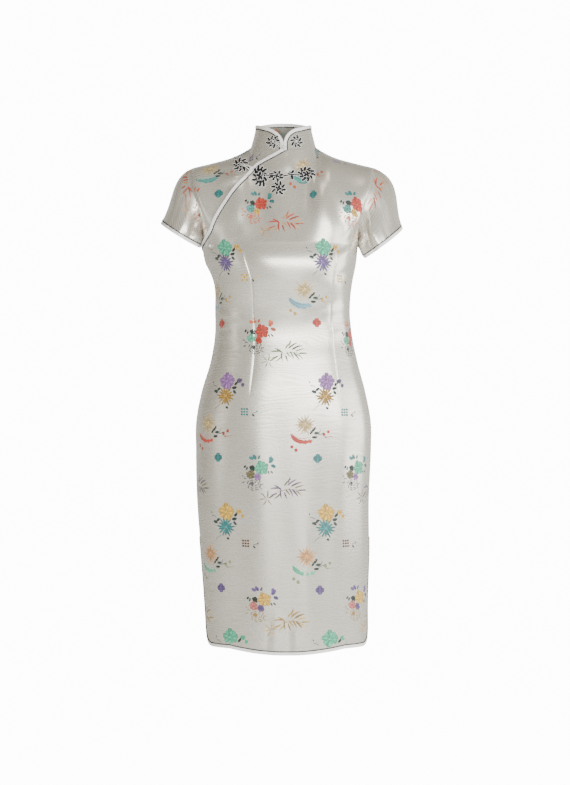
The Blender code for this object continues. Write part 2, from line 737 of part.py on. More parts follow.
def build_underlap(collection, armholes):
    """The breast piece below the lapping edge."""
    levels = np.array(UNDERLAP_LEVELS + UPPER_LEVELS)
    start = len(UNDERLAP_LEVELS) - 1
    right = overlap_across(np.maximum(levels, 0.0)) + UNDERLAP_REACH
    right[:start] = right[start] + levels[:start] * UNDERLAP_SLANT
    share = np.linspace(0.0, 1.0, UNDERLAP_COLUMNS)
    kept = share[-1 - UNDERLAP_NECK_COLUMNS]
    across = np.zeros((len(levels), len(share)))
    for row, level in enumerate(levels):
        low = -1 + (right[row] + 1) * share
        across[row] = to_neckline(low, share, [0, kept, 1], [-1, -NECK_ACROSS, right[row]], level)
    points = body(across, levels[:, None], -1)
    normals = body_normal(across, np.broadcast_to(levels[:, None], across.shape), -1)
    outer = points + normals * (fold_offset(points, FRONT_FOLDS) * quiet_sides(across))[..., None]
    inwards = -normals.copy()
    inwards[:, 0, 1] = 0.0
    inwards[-1, across[-1] <= -NECK_ACROSS + 1e-6, 1] = 0.0
    inwards = unit(inwards)
    inwards[start:, 0] = armholes["right"]["front"]
    cloth_wall("front_underlap", outer, inwards, SATIN, collection)
    return outer, across


def build_back(collection, armholes):
    """The back in one piece; returns its outer points and normals."""
    rim = [1.0, 1 - RIM_COLUMNS[0], 1 - RIM_COLUMNS[1]]
    inner = np.linspace(-1 + RIM_COLUMNS[2], 1 - RIM_COLUMNS[2], BACK_COLUMNS)
    columns = np.concatenate([[-value for value in rim], inner, rim[::-1]])
    levels = panel_levels(columns, BACK_UPPER_LEVELS, 1)
    kept = inner[BACK_COLUMNS // 2 + BACK_NECK_COLUMNS]
    across = np.zeros_like(levels)
    for row, level in enumerate(levels):
        low = columns * side_across(level, 1)
        across[row] = to_neckline(low, columns, [-1, -kept, kept, 1], [-1, -NECK_ACROSS, NECK_ACROSS, 1], level[0])
    points = body(across, levels, 1)
    normals = body_normal(across, levels, 1)
    outer = points + normals * (fold_offset(points, BACK_FOLDS) * quiet_sides(across))[..., None]
    inwards = -normals.copy()
    inwards[:, 0, 1] = 0.0
    inwards[:, -1, 1] = 0.0
    inwards[-1, np.abs(across[-1]) >= NECK_ACROSS - 1e-6, 1] = 0.0
    inwards = unit(inwards)
    first = int(np.argmax(levels[:, 0] >= 0.0))
    inwards[first:, 0] = armholes["right"]["back"]
    inwards[first:, -1] = armholes["left"]["back"]
    cloth_wall("back", outer, inwards, SATIN, collection)
    return outer, normals, across


def sleeve_points(data):
    """Outer points of a sleeve, row 0 on the armhole, with what its seam and hem need."""
    side = data["side"]
    front_levels = np.array([0.0] + UPPER_LEVELS)
    back_levels = np.array([0.0] + BACK_UPPER_LEVELS)[::-1]
    front = body(np.full(len(front_levels), side), front_levels, -1)
    back = body(np.full(len(back_levels), side), back_levels, 1)
    front[[0, -1], 1] = 0.0
    loop = np.concatenate([front, back[1:-1]])
    body_way = np.concatenate(
        [
            body_normal(np.full(len(front_levels), side), front_levels, -1),
            body_normal(np.full(len(back_levels), side), back_levels, 1)[1:-1],
        ]
    )
    body_way[[0, len(front) - 1], 1] = 0.0
    body_way = unit(body_way)
    total = len(loop)
    top = len(front) - 1
    steps = np.linalg.norm(np.roll(loop, -1, axis=0) - loop, axis=1)
    along = np.concatenate([[0.0], np.cumsum(steps)])
    around = np.zeros(total)
    around[: top + 1] = along[: top + 1] / along[top]
    around[top + 1 :] = (along[-1] - along[top + 1 : -1]) / (along[-1] - along[top])
    face = np.where(np.arange(total) <= top, -1.0, 1.0)
    outer = np.array([data["outer"][0], 0.0, data["outer"][1]])
    inner = np.array([data["inner"][0], 0.0, data["inner"][1]])
    half = (outer - inner) / 2
    arm = unit(np.array([half[2] * side, 0.0, -abs(half[0])]))
    angle = around * math.pi
    hem = (outer + inner) / 2 - half * np.cos(angle)[:, None]
    hem[:, 1] += face * SLEEVE_HALF_DEPTH * np.sin(angle)
    hem[:, 2] -= np.where(face < 0, SLEEVE_FRONT_DROP, -SLEEVE_BACK_LIFT) * np.sin(angle)
    hem = hem - arm * EDGE_WIDTH
    drop = SLEEVE_DROP + SLEEVE_DROP_UNDERARM * (1 - around)
    leave = np.stack([np.full(total, side), np.zeros(total), -drop], axis=1)
    leave = unit(leave)
    reach = np.linalg.norm(hem - loop, axis=1)[:, None]
    full = data["fullness"] * ease((around - SLEEVE_FULL_FROM) / (1 - SLEEVE_FULL_FROM))[:, None]
    first = loop + leave * reach * (SLEEVE_REACH + SLEEVE_REACH_FULL * full)
    second = hem - (arm - np.array([side * SLEEVE_HEM_SPREAD, 0.0, 0.0]) * full) * reach * SLEEVE_HEM_REACH
    rows = []
    for row in range(SLEEVE_ROWS + 1):
        share = row / SLEEVE_ROWS
        here = loop * (1 - share) ** 3 + 3 * first * share * (1 - share) ** 2
        rows.append(here + 3 * second * share**2 * (1 - share) + hem * share**3)
    points = np.array(rows)
    normals = grid_normals(points) * -side
    run = np.linspace(0, 1, SLEEVE_ROWS + 1)[:, None]
    settle = ease((run - SLEEVE_FOLD_EASE_FROM) / (1 - SLEEVE_FOLD_EASE_FROM))
    grow = ease(run / SLEEVE_FOLD_GROW) * (1 - SLEEVE_FOLD_EASE * settle)
    for fold in SLEEVE_FOLDS[SLEEVE_FOLDS["sleeve"] == side]:
        near = np.exp(-(((around - fold["around"]) / fold["width"]) ** 2)) * (face == fold["face"])
        points = points + normals * (fold["height"] * near * grow)[..., None]
    seam = body_way + normals[0]
    seam[[0, top], 1] = 0.0
    seam = unit(seam)
    seam = seam / np.clip(np.sum(seam * body_way, axis=-1, keepdims=True), BEND_LEAST, 1.0)
    tangent = np.roll(loop, -1, axis=0) - np.roll(loop, 1, axis=0)
    away = unit(np.cross(seam, tangent))
    away = away * np.where(np.sum(away * leave, axis=-1, keepdims=True) < 0, -1.0, 1.0)
    points[0] = loop + away * ARMHOLE_GAP
    inwards = -normals.copy()
    inwards[0] = -seam
    back_way = np.concatenate([seam[:1], seam[:top:-1], seam[top : top + 1]])
    return {
        "points": points,
        "inwards": inwards,
        "arm": arm,
        "front": -seam[: top + 1],
        "back": -back_way,
    }


def build_sleeve(label, sleeve, collection):
    """One short set-in sleeve with its bound hem."""
    cloth_wall("sleeve_" + label, sleeve["points"], sleeve["inwards"], SATIN, collection, closed=True)
    edge = sleeve["points"][-1]
    normals = -sleeve["inwards"][-1]
    outs = edge_outs(edge, normals, np.tile(sleeve["arm"], (len(edge), 1)), closed=True)
    trim_edge("sleeve_" + label, edge, normals, outs, collection, closed=True)


def hem_line(outer, normals, levels):
    """The cloth edge down one slit, round the hem and up the other slit, with its normals."""
    top = int(np.argmax(ARMPIT + levels[:, 0] >= SLIT_TOP - SLIT_NOTCH)) - 1
    line = np.concatenate([outer[top:0:-1, 0], outer[0], outer[1 : top + 1, -1]])
    ways = np.concatenate([normals[top:0:-1, 0], normals[0], normals[1 : top + 1, -1]])
    towards = np.tile(np.array([0.0, 0.0, -1.0]), (len(line), 1))
    face = np.sign(outer[0, 0, 1])
    towards[: top + 1] = [0.0, -face, -SLIT_OUT_DROP]
    towards[-top - 1 :] = [0.0, -face, -SLIT_OUT_DROP]
    return line, ways, towards


def neck_part(outer, across, face, end, side):
    """Neckline points of one body piece for the collar, cut at its front end."""
    keep = np.abs(across[-1]) <= NECK_ACROSS + 1e-6
    row = body(across[-1, keep], 1.0, face)
    if end is None:
        return row
    row = row[row[:, 0] * side > end * side + COLLAR_SHORTEST]
    first = math.asin((end - NECK_CENTRE) / SHOULDER_HALF) * 2 / math.pi
    cut = body(np.array([first]), 1.0, face)
    return np.concatenate([cut, row]) if side > 0 else np.concatenate([row, cut])


def collar_height(distance):
    """Height of the collar's cloth edge by distance from the collar's finished front edge."""
    corner = 1.0 - np.clip((distance - EDGE_WIDTH) / (COLLAR_CORNER - EDGE_WIDTH), 0.0, 1.0)
    rise = np.sqrt(1.0 - corner**2)
    front = COLLAR_FRONT_EDGE - EDGE_WIDTH * COLLAR_FRONT_SHARE
    return front + (COLLAR_HEIGHT - EDGE_WIDTH - front) * rise


def build_collar(collection, front_base, under_base, back_base):
    """Stand collar on the neckline points of the three body pieces, with its trim."""
    base = np.concatenate([under_base[::-1], back_base[1:-1], front_base[::-1]])
    middle = np.array([NECK_CENTRE, 0.0, 0.0])
    away = base - middle
    away[:, 2] = 0.0
    away = unit(away / np.array([NECK_HALF, NECK_FRONT, 1.0]) ** 2)
    steps = np.linalg.norm(np.diff(base, axis=0), axis=1)
    along = np.concatenate([[0.0], np.cumsum(steps)]) + COLLAR_GAP + EDGE_WIDTH
    distance = np.minimum(along, along[::-1])
    height = collar_height(distance)
    lean = COLLAR_LEAN * np.abs(away[:, 0]) + COLLAR_LEAN_FRONT * np.abs(away[:, 1])
    rows = []
    for share in COLLAR_ROWS:
        up = height * share
        curve = 1 + COLLAR_CURVE - COLLAR_CURVE * up / COLLAR_HEIGHT
        inwards = lean * up / COLLAR_HEIGHT * curve
        here = base - away * inwards[:, None]
        here[:, 2] += up + GAP
        rows.append(here)
    outer = np.array(rows)
    inwards = np.tile(-away, (len(COLLAR_ROWS), 1, 1))
    cloth_wall("collar", outer, inwards, SATIN, collection)
    line = np.concatenate([outer[:-1, 0], outer[-1], outer[-2::-1, -1]])
    ways = np.concatenate([away[:1].repeat(len(outer) - 1, axis=0), away, away[-1:].repeat(len(outer) - 1, axis=0)])
    towards = np.tile(np.array([0.0, 0.0, 1.0]), (len(line), 1))
    ends = len(outer) - 1
    towards[:ends] = [1.0, 0.0, COLLAR_END_LIFT]
    towards[-ends:] = [-1.0, 0.0, COLLAR_END_LIFT]
    outs = edge_outs(line, ways, towards)
    trim_edge("collar", line, ways, outs, collection)
    return outer


def cloth_surface(names):
    """One search tree over the outer faces of the named pieces, to lay trim on them."""
    graph = bpy.context.evaluated_depsgraph_get()
    vertices = []
    faces = []
    for name in names:
        evaluated = bpy.data.objects[name].evaluated_get(graph)
        mesh = evaluated.to_mesh()
        start = len(vertices)
        vertices += [vertex.co.copy() for vertex in mesh.vertices]
        faces += [[index + start for index in polygon.vertices] for polygon in mesh.polygons]
        evaluated.to_mesh_clear()
    return BVHTree.FromPolygons(vertices, faces)


def lay_on(tree, spots, lift):
    """Points over the front cloth at (x, z) spots: a soft curved face laid over it, lifted clear of every bump."""
    middle = spots.mean(axis=0)
    shares = np.linspace(0.0, 1.0, PROBE_STEPS)[:, None, None]
    probe = (middle + (spots - middle) * shares).reshape(-1, 2)
    hits = []
    for x, z in probe:
        place, _, _, _ = tree.ray_cast(Vector((x, PROBE_START, z)), Vector((0.0, 1.0, 0.0)))
        hits.append(place.y if place is not None else np.nan)
    hits = np.array(hits)

    def terms(places):
        x, z = ((places - middle) / SEAT_SPAN).T
        return np.stack([np.ones_like(x), x, z, x * x, x * z, z * z], axis=1)

    seen = ~np.isnan(hits)
    fit, _, _, _ = np.linalg.lstsq(terms(probe[seen]), hits[seen], rcond=None)
    forward = max(float((terms(probe[seen]) @ fit - hits[seen]).max()), 0.0)
    return np.stack([spots[:, 0], terms(spots) @ fit - forward - lift, spots[:, 1]], axis=1)


def build_flower(frog, tree, collection):
    """One flower of a frog fastening: petals of folded cord drawn as a lobed plate, ridged along each petal."""
    petals = int(frog["petals"])
    count = petals * PETAL_POINTS
    angle = np.arange(count) * 2 * math.pi / count
    lobe = np.abs(np.cos(angle * petals / 2))
    reach = 1.0 - PETAL_CUT * (1.0 - lobe) ** PETAL_CUT_POWER
    turned = angle + frog["turn"]
    spots = [[frog["x"], frog["z"]]]
    heights = [PETAL_HEIGHT * PETAL_DOME]
    for share in PETAL_RINGS:
        for index in range(count):
            away = reach[index] * share
            spots.append(
                [
                    frog["x"] + math.sin(turned[index]) * away * frog["half_width"],
                    frog["z"] + math.cos(turned[index]) * away * frog["half_height"],
                ]
            )
            ridge = PETAL_VALLEY + (1 - PETAL_VALLEY) * lobe[index]
            edge = 1.0 if share < 1.0 else PETAL_RIM
            heights.append(PETAL_HEIGHT * (1.0 + (ridge - 1.0) * share) * edge)
    spots = np.array(spots)
    base = lay_on(tree, spots, float(frog["lift"]))
    top = base.copy()
    top[:, 1] -= np.array(heights)
    rings = len(PETAL_RINGS)
    vertices = np.concatenate([top, base[-count:], base[1 : 1 + count], base[:1]])
    low = 1 + rings * count
    faces = []
    for index in range(count):
        after = (index + 1) % count
        faces.append((0, 1 + index, 1 + after))
        for ring in range(rings - 1):
            inner = 1 + ring * count
            faces.append((inner + index, inner + count + index, inner + count + after, inner + after))
        rim = 1 + (rings - 1) * count
        faces.append((rim + index, low + index, low + after, rim + after))
        faces.append((low + index, low + count + index, low + count + after, low + after))
        faces.append((low + 2 * count, low + count + after, low + count + index))
    add_object(frog["name"], vertices, faces, FROG, collection)


def build_stem(stem, tree, collection):
    """A flat stem between two flowers of the spray, a swept low bar."""
    share = np.linspace(0.0, 1.0, STEM_POINTS)
    x = stem["x0"] + (stem["x1"] - stem["x0"]) * share
    z = stem["z0"] + (stem["z1"] - stem["z0"]) * share + stem["sag"] * 4 * share * (1 - share)
    line = lay_on(tree, np.stack([x, z], axis=1), float(stem["lift"]))
    ways = np.tile(np.array([0.0, -1.0, 0.0]), (len(line), 1))
    outs = edge_outs(line, ways, np.tile(np.array([0.0, 0.0, 1.0]), (len(line), 1)))
    sweep(stem["name"], line, outs, ways, STEM_SECTION, FROG, collection)


def build_knot(knot, tree, collection):
    """A ball button of knotted cord, its ball a slightly flattened sphere."""
    depth = []
    for step in (-1.0, -0.5, 0.5, 1.0):
        for x, z in ((step, 0.0), (0.0, step)):
            seat_x = knot["x"] + x * knot["radius"] * KNOT_SEAT
            seat_z = knot["z"] + z * knot["radius"] * KNOT_SEAT
            spot = Vector((seat_x, PROBE_START, seat_z))
            place, _, _, _ = tree.ray_cast(spot, Vector((0.0, 1.0, 0.0)))
            if place is not None and place.y < 0.0:
                depth.append(place.y)
    place = (knot["x"], min(depth), knot["z"])
    bpy.ops.mesh.primitive_uv_sphere_add(segments=KNOT_SEGMENTS, ring_count=KNOT_RINGS, radius=float(knot["radius"]))
    item = bpy.context.active_object
    item.name = knot["name"]
    item.data.name = knot["name"]
    for vertex in item.data.vertices:
        vertex.co.y *= KNOT_SQUASH
        vertex.co += Vector((place[0], place[1] - knot["radius"] * KNOT_SQUASH - knot["lift"], place[2]))
    for user in list(item.users_collection):
        user.objects.unlink(item)
    collection.objects.link(item)
    item.data.materials.append(make_material(knot["name"], KNOT))


def main():
    """Builds every piece."""
    clear_scene()
    collection = bpy.data.collections.new(OBJECT_NAME)
    bpy.context.scene.collection.children.link(collection)
    sleeves = {label: sleeve_points(data) for label, data in SLEEVES.items()}
    front, front_normals, upper_from, front_across = build_front(collection, sleeves)
    under, under_across = build_underlap(collection, sleeves)
    back, back_normals, back_across = build_back(collection, sleeves)
    for label, sleeve in sleeves.items():
        build_sleeve(label, sleeve, collection)
    levels = panel_levels(front_columns(), UPPER_LEVELS, -1)
    line, ways, towards = hem_line(front, front_normals, levels)
    trim_edge("hem_front", line, ways, edge_outs(line, ways, towards), collection)
    line, ways, towards = hem_line(back, back_normals, levels)
    trim_edge("hem_back", line, ways, edge_outs(line, ways, towards), collection)
    line = front[upper_from:, 0]
    ways = front_normals[upper_from:, 0]
    outs = edge_outs(line, ways, np.tile(np.array(LAP_OUT), (len(line), 1)))
    outs = outs + ways * LAP_TILT
    outs[-1] = np.array([-1.0, 0.0, 0.0]) / LAP_END + ways[-1] * LAP_TILT
    trim_edge("overlap", line, ways, outs, collection)
    right_end = NECK_CENTRE - COLLAR_GAP - EDGE_WIDTH
    left_end = NECK_CENTRE + COLLAR_GAP + EDGE_WIDTH
    build_collar(
        collection,
        neck_part(front, front_across, -1, left_end, 1),
        neck_part(under, under_across, -1, right_end, -1),
        neck_part(back, back_across, 1, None, 0),
    )

    below = ["front_main", "front_underlap", "binding_overlap", "piping_overlap"]
    below += ["collar", "binding_collar", "piping_collar"]
    tree = cloth_surface(below)
    for row in FLOWERS:
        build_flower(row, tree, collection)
    for row in STEMS:
        build_stem(row, tree, collection)
    for row in KNOTS:
        build_knot(row, tree, collection)


main()
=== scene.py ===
import math

import bpy
import numpy as np
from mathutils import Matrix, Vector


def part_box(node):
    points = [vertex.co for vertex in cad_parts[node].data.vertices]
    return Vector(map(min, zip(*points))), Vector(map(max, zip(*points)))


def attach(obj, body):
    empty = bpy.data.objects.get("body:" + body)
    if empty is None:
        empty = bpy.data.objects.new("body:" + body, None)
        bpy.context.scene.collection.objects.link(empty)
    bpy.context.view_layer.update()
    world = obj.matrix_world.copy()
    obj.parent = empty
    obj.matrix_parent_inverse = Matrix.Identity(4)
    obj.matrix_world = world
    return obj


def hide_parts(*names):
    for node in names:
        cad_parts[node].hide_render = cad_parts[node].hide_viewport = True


# Frame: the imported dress, hung in the shape it has when worn. Metres, +Z up, the front faces -Y,
# the wearer's right is -X, and the origin lies between the shoulders.
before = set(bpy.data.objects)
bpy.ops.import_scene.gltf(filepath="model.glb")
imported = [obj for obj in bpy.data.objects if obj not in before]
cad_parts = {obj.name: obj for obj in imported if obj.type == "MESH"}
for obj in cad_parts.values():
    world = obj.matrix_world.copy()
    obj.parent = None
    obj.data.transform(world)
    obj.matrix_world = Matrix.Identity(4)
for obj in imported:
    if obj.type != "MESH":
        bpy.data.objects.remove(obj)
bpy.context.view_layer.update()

# Camera: level with the middle of the photograph and square to the front of the dress,
# far enough back that the sides show little.
PIXEL = 0.00196
PHOTO_ROWS = 785
SHOULDER_ROW = 160
CENTRE_ROW = 392.5
CAMERA_AWAY = 3.4
SENSOR = 36.0

lens = bpy.data.cameras.new("camera")
lens.sensor_fit = "VERTICAL"
lens.sensor_height = SENSOR
lens.lens = SENSOR * CAMERA_AWAY / (PHOTO_ROWS * PIXEL)
lens.clip_end = 40.0
camera = bpy.data.objects.new("camera", lens)
camera.location = (0.0, -CAMERA_AWAY, (SHOULDER_ROW - CENTRE_ROW) * PIXEL)
camera.rotation_euler = (math.pi / 2, 0.0, 0.0)
bpy.context.scene.collection.objects.link(camera)
bpy.context.scene.camera = camera

# Body cut: the cloth of front and back follows level sections from hem to underarm, and from
# there an armhole on each side, a sloping shoulder line and the neckline. The tables hold the
# garment's half width and its depth in front and behind, as a cutter would take them.
ARMPIT = -0.170
SHOULDER_HALF = 0.177
NECK_HALF = 0.064
NECK_FRONT = 0.060
NECK_BACK = 0.056
NECK_CENTRE = -0.003
NECK_SIDE_HEIGHT = 0.024
NECK_FRONT_HEIGHT = 0.010
NECK_BACK_HEIGHT = 0.036
NECK_SPREAD = 0.36
SHOULDER_POINT_HEIGHT = -0.016
SECTION_ROUNDNESS = 0.85
SEAM_HALF = 0.00006
NECK_ACROSS = math.asin(NECK_HALF / SHOULDER_HALF) * 2 / math.pi

RINGS = np.array(
    [
        (-0.960, 0.005, 0.1580, 0.100, 0.108),
        (-0.860, 0.002, 0.1600, 0.102, 0.110),
        (-0.770, 0.000, 0.1645, 0.105, 0.115),
        (-0.660, -0.004, 0.1685, 0.108, 0.122),
        (-0.565, -0.003, 0.1715, 0.108, 0.130),
        (-0.517, -0.003, 0.1715, 0.107, 0.130),
        (-0.455, -0.003, 0.1605, 0.104, 0.118),
        (-0.392, -0.002, 0.1430, 0.097, 0.100),
        (-0.345, -0.003, 0.1345, 0.092, 0.090),
        (-0.298, -0.005, 0.1320, 0.097, 0.086),
        (-0.240, -0.004, 0.1360, 0.120, 0.092),
        (-0.205, -0.007, 0.1460, 0.124, 0.098),
        (-0.170, -0.009, 0.1515, 0.117, 0.104),
    ],
    dtype=[("height", float), ("centre", float), ("half_width", float), ("front", float), ("back", float)],
)
ARMHOLE = np.array(
    [
        (0.00, 0.1515, 0.000, 0.000),
        (0.12, 0.1510, 0.030, 0.028),
        (0.25, 0.1570, 0.044, 0.038),
        (0.45, 0.1700, 0.046, 0.040),
        (0.70, 0.1755, 0.031, 0.030),
        (1.00, 0.1770, 0.000, 0.000),
    ],
    dtype=[("share", float), ("half_width", float), ("front", float), ("back", float)],
)
SHOULDER_LINE = np.array(
    [(0.3616, 0.0240), (0.45, 0.0145), (0.57, 0.0045), (0.76, -0.0055), (1.00, -0.0160)],
    dtype=[("share", float), ("height", float)],
)


def follow(table, key, column, where):
    """A smooth curve through the rows of a table: between two rows a cubic with the slopes of its neighbours."""
    known = table[key]
    values = table[column]
    slopes = np.gradient(values, known)
    where = np.clip(np.asarray(where, dtype=float), known[0], known[-1])
    index = np.clip(np.searchsorted(known, where, side="right") - 1, 0, len(known) - 2)
    step = known[index + 1] - known[index]
    share = (where - known[index]) / step
    start = (1 + 2 * share) * (1 - share) ** 2
    leave = share * (1 - share) ** 2
    end = share**2 * (3 - 2 * share)
    arrive = share**2 * (share - 1)
    result = start * values[index] + end * values[index + 1]
    return result + step * (leave * slopes[index] + arrive * slopes[index + 1])


def ease(value):
    """0 to 1 with level ends: three times the square less twice the cube."""
    value = np.clip(value, 0.0, 1.0)
    return value * value * (3.0 - 2.0 * value)


def unit(vectors):
    """Vectors scaled to length one."""
    return vectors / np.maximum(np.linalg.norm(vectors, axis=-1, keepdims=True), 1e-12)


def body(across, level, face):
    """A point of the body cloth.

    across runs -1 to 1 between the side lines, level is metres below the underarm when negative and
    the share of the way up when positive, face is -1 in front and 1 behind. Width goes with the sine
    of across and depth with a power of its cosine; above the underarm the depth shrinks to that of
    the neckline while the height climbs to the shoulder line.
    """
    across, level = np.broadcast_arrays(np.asarray(across, dtype=float), np.asarray(level, dtype=float))
    share = np.clip(level, 0.0, 1.0)
    ring_height = ARMPIT + np.minimum(level, 0.0)
    depth = follow(RINGS, "height", "front" if face < 0 else "back", ring_height)
    half = follow(RINGS, "height", "half_width", ring_height)
    centre = follow(RINGS, "height", "centre", ring_height)
    half = np.where(level > 0, follow(ARMHOLE, "share", "half_width", share), half)
    centre = centre + (NECK_CENTRE - centre) * share
    sine = np.sin(across * math.pi / 2)
    roundness = np.maximum(np.cos(across * math.pi / 2), 0.0) ** SECTION_ROUNDNESS
    to_neck = np.abs(sine) * SHOULDER_HALF / NECK_HALF
    inside = to_neck < 1.0
    neck_depth = np.sqrt(np.maximum(1.0 - to_neck**2, 0.0))
    soft_depth = np.exp(-((sine / NECK_SPREAD) ** 2))
    near_top = share**3
    shoulder = follow(SHOULDER_LINE, "share", "height", np.abs(sine))
    if face < 0:
        neck, middle, power, soft_power, least = NECK_FRONT, NECK_FRONT_HEIGHT, 2.2, 1.6, 0.0
    else:
        neck, middle, power, soft_power, least = NECK_BACK, NECK_BACK_HEIGHT, 2.0, 1.2, 0.5
    dip = middle + (NECK_SIDE_HEIGHT - middle) * np.minimum(to_neck, 1.0) ** power
    top_depth = neck * (soft_depth + (neck_depth - soft_depth) * near_top)
    bend = least + (1 - least) * ease((np.abs(sine) - 0.15) / 0.40)
    soft_top = middle + (SHOULDER_POINT_HEIGHT - middle) * np.abs(sine) ** soft_power
    top = soft_top + (np.where(inside, dip, shoulder) - soft_top) * near_top
    angle = share * math.pi / 2
    rise = (1 - bend) * share + bend * np.sin(angle)
    fall = (1 - bend) * (1 - share) + bend * np.cos(angle)
    bulge = follow(ARMHOLE, "share", "front" if face < 0 else "back", share) * np.abs(sine) ** 6
    out = top_depth + (depth * roundness - top_depth) * fall + bulge
    x = centre + sine * half
    y = face * (out + SEAM_HALF)
    z = np.where(level > 0, ARMPIT + (top - ARMPIT) * rise, ring_height)
    return np.stack([x, y, z], axis=-1)


def grid_normals(points, closed=False):
    """Unit normals of a grid: the cross product of its steps along rows and along columns."""
    if closed:
        along = np.roll(points, -1, axis=1) - np.roll(points, 1, axis=1)
    else:
        along = np.gradient(points, axis=1)
    return unit(np.cross(along, np.gradient(points, axis=0)))


# Satin ground: a heavy silk-like satin, silvery white with a warm shade where it turns away, its
# surface figured with faint level ripples. Its shade colour is painted shade: that warm shade is mixed
# into the base colour along the ripples and in broad patches. The reverse is duller and shows the brocade's floats.
SATIN_LIGHT = (0.665, 0.645, 0.580)
SATIN_PAINTED_SHADE = (0.470, 0.435, 0.335)
REVERSE_LIGHT = (0.360, 0.340, 0.290)
REVERSE_DARK = (0.085, 0.080, 0.075)
RIPPLE_SCALE = 42.0
RIPPLE_TOP = -0.10
RIPPLE_FADE = 2.5
RIPPLE_LEAST = 0.25
THREAD_SCALE = 900.0


def new_group(name, inputs, outputs):
    """An empty shader node group with named number or colour sockets."""
    group = bpy.data.node_groups.new(name, "ShaderNodeTree")
    kinds = {"value": "NodeSocketFloat", "colour": "NodeSocketColor", "vector": "NodeSocketVector"}
    for label, kind, start in inputs:
        socket = group.interface.new_socket(label, in_out="INPUT", socket_type=kinds[kind])
        if start is not None:
            socket.default_value = start
    for label, kind in outputs:
        group.interface.new_socket(label, in_out="OUTPUT", socket_type=kinds[kind])
    return group, group.nodes.new("NodeGroupInput"), group.nodes.new("NodeGroupOutput")


def math_node(tree, operation, first, second=None):
    """A Math node on two sockets or numbers; gives its output socket."""
    node = tree.nodes.new("ShaderNodeMath")
    node.operation = operation
    for place, value in enumerate((first, second)):
        if isinstance(value, bpy.types.NodeSocket):
            tree.links.new(value, node.inputs[place])
        elif value is not None:
            node.inputs[place].default_value = value
    return node.outputs[0]


def mix_node(tree, factor, first, second):
    """A colour mix of two sockets or colours; gives its output socket."""
    node = tree.nodes.new("ShaderNodeMix")
    node.data_type = "RGBA"
    for place, value in ((0, factor), (6, first), (7, second)):
        if isinstance(value, bpy.types.NodeSocket):
            tree.links.new(value, node.inputs[place])
        else:
            node.inputs[place].default_value = (*value, 1.0) if place else value
    return node.outputs[2]


def texture_node(tree, kind, coordinates, scale, **values):
    """A Noise or Wave texture read at the given coordinates, stretched by scale on each axis."""
    mapping = tree.nodes.new("ShaderNodeMapping")
    mapping.inputs["Scale"].default_value = scale
    tree.links.new(coordinates, mapping.inputs["Vector"])
    node = tree.nodes.new(kind)
    for label, value in values.items():
        if label == "bands_direction":
            node.bands_direction = value
        else:
            node.inputs[label.replace("_", " ")].default_value = value
    tree.links.new(mapping.outputs[0], node.inputs["Vector"])
    return node.outputs["Fac"]


def bump_node(tree, height, strength, distance, normal=None):
    """A Bump node; gives its normal."""
    node = tree.nodes.new("ShaderNodeBump")
    node.inputs["Strength"].default_value = strength
    node.inputs["Distance"].default_value = distance
    tree.links.new(height, node.inputs["Height"])
    if normal is not None:
        tree.links.new(normal, node.inputs["Normal"])
    return node.outputs[0]


def ripple_group():
    """Satin ripples: level wavy bands broken by noise, with the weave's fine twill lines over them."""
    group, start, end = new_group(
        "satin_ripples", [("Vector", "vector", None)], [("Ripple", "value"), ("Patch", "value"), ("Height", "value")]
    )
    vector = start.outputs["Vector"]
    waves = texture_node(
        group, "ShaderNodeTexWave", vector, (0.42, 1.0, 1.0), bands_direction="Y",
        Scale=RIPPLE_SCALE, Distortion=15.0, Detail=1.0, Detail_Scale=0.8,
    )
    spots = texture_node(group, "ShaderNodeTexNoise", vector, (0.6, 1.0, 1.0), Scale=22.0, Detail=2.0)
    breaks = math_node(group, "MULTIPLY", math_node(group, "SUBTRACT", spots, 0.36), 2.2)
    breaks.node.use_clamp = True
    patch = texture_node(group, "ShaderNodeTexNoise", vector, (1.0, 0.7, 1.0), Scale=5.0, Detail=2.0)
    twill = texture_node(
        group, "ShaderNodeTexWave", vector, (1.0, 0.35, 1.0), bands_direction="DIAGONAL", Scale=THREAD_SCALE
    )
    strength = math_node(group, "MULTIPLY", waves, breaks)
    height = math_node(group, "ADD", strength, math_node(group, "MULTIPLY", twill, 0.10))
    group.links.new(strength, end.inputs["Ripple"])
    group.links.new(patch, end.inputs["Patch"])
    group.links.new(height, end.inputs["Height"])
    return group


ripples = ripple_group()


def new_material(name, roughness, **sockets):
    """A Principled material with uniform values set on its own sockets; gives it, its tree and its shader."""
    material = bpy.data.materials.new(name)
    material.use_nodes = True
    shader = material.node_tree.nodes["Principled BSDF"]
    shader.inputs["Roughness"].default_value = roughness
    for label, value in sockets.items():
        shader.inputs[label.replace("_", " ")].default_value = value
    return material, material.node_tree, shader


def cloth_coordinates(tree):
    """The cloth's own measure, metres across and down the weave, from its UV map."""
    node = tree.nodes.new("ShaderNodeUVMap")
    node.uv_map = "cloth"
    return node.outputs[0]


def add_group(tree, group, coordinates):
    """A group node fed with the given coordinates."""
    node = tree.nodes.new("ShaderNodeGroup")
    node.node_tree = group
    tree.links.new(coordinates, node.inputs["Vector"])
    return node


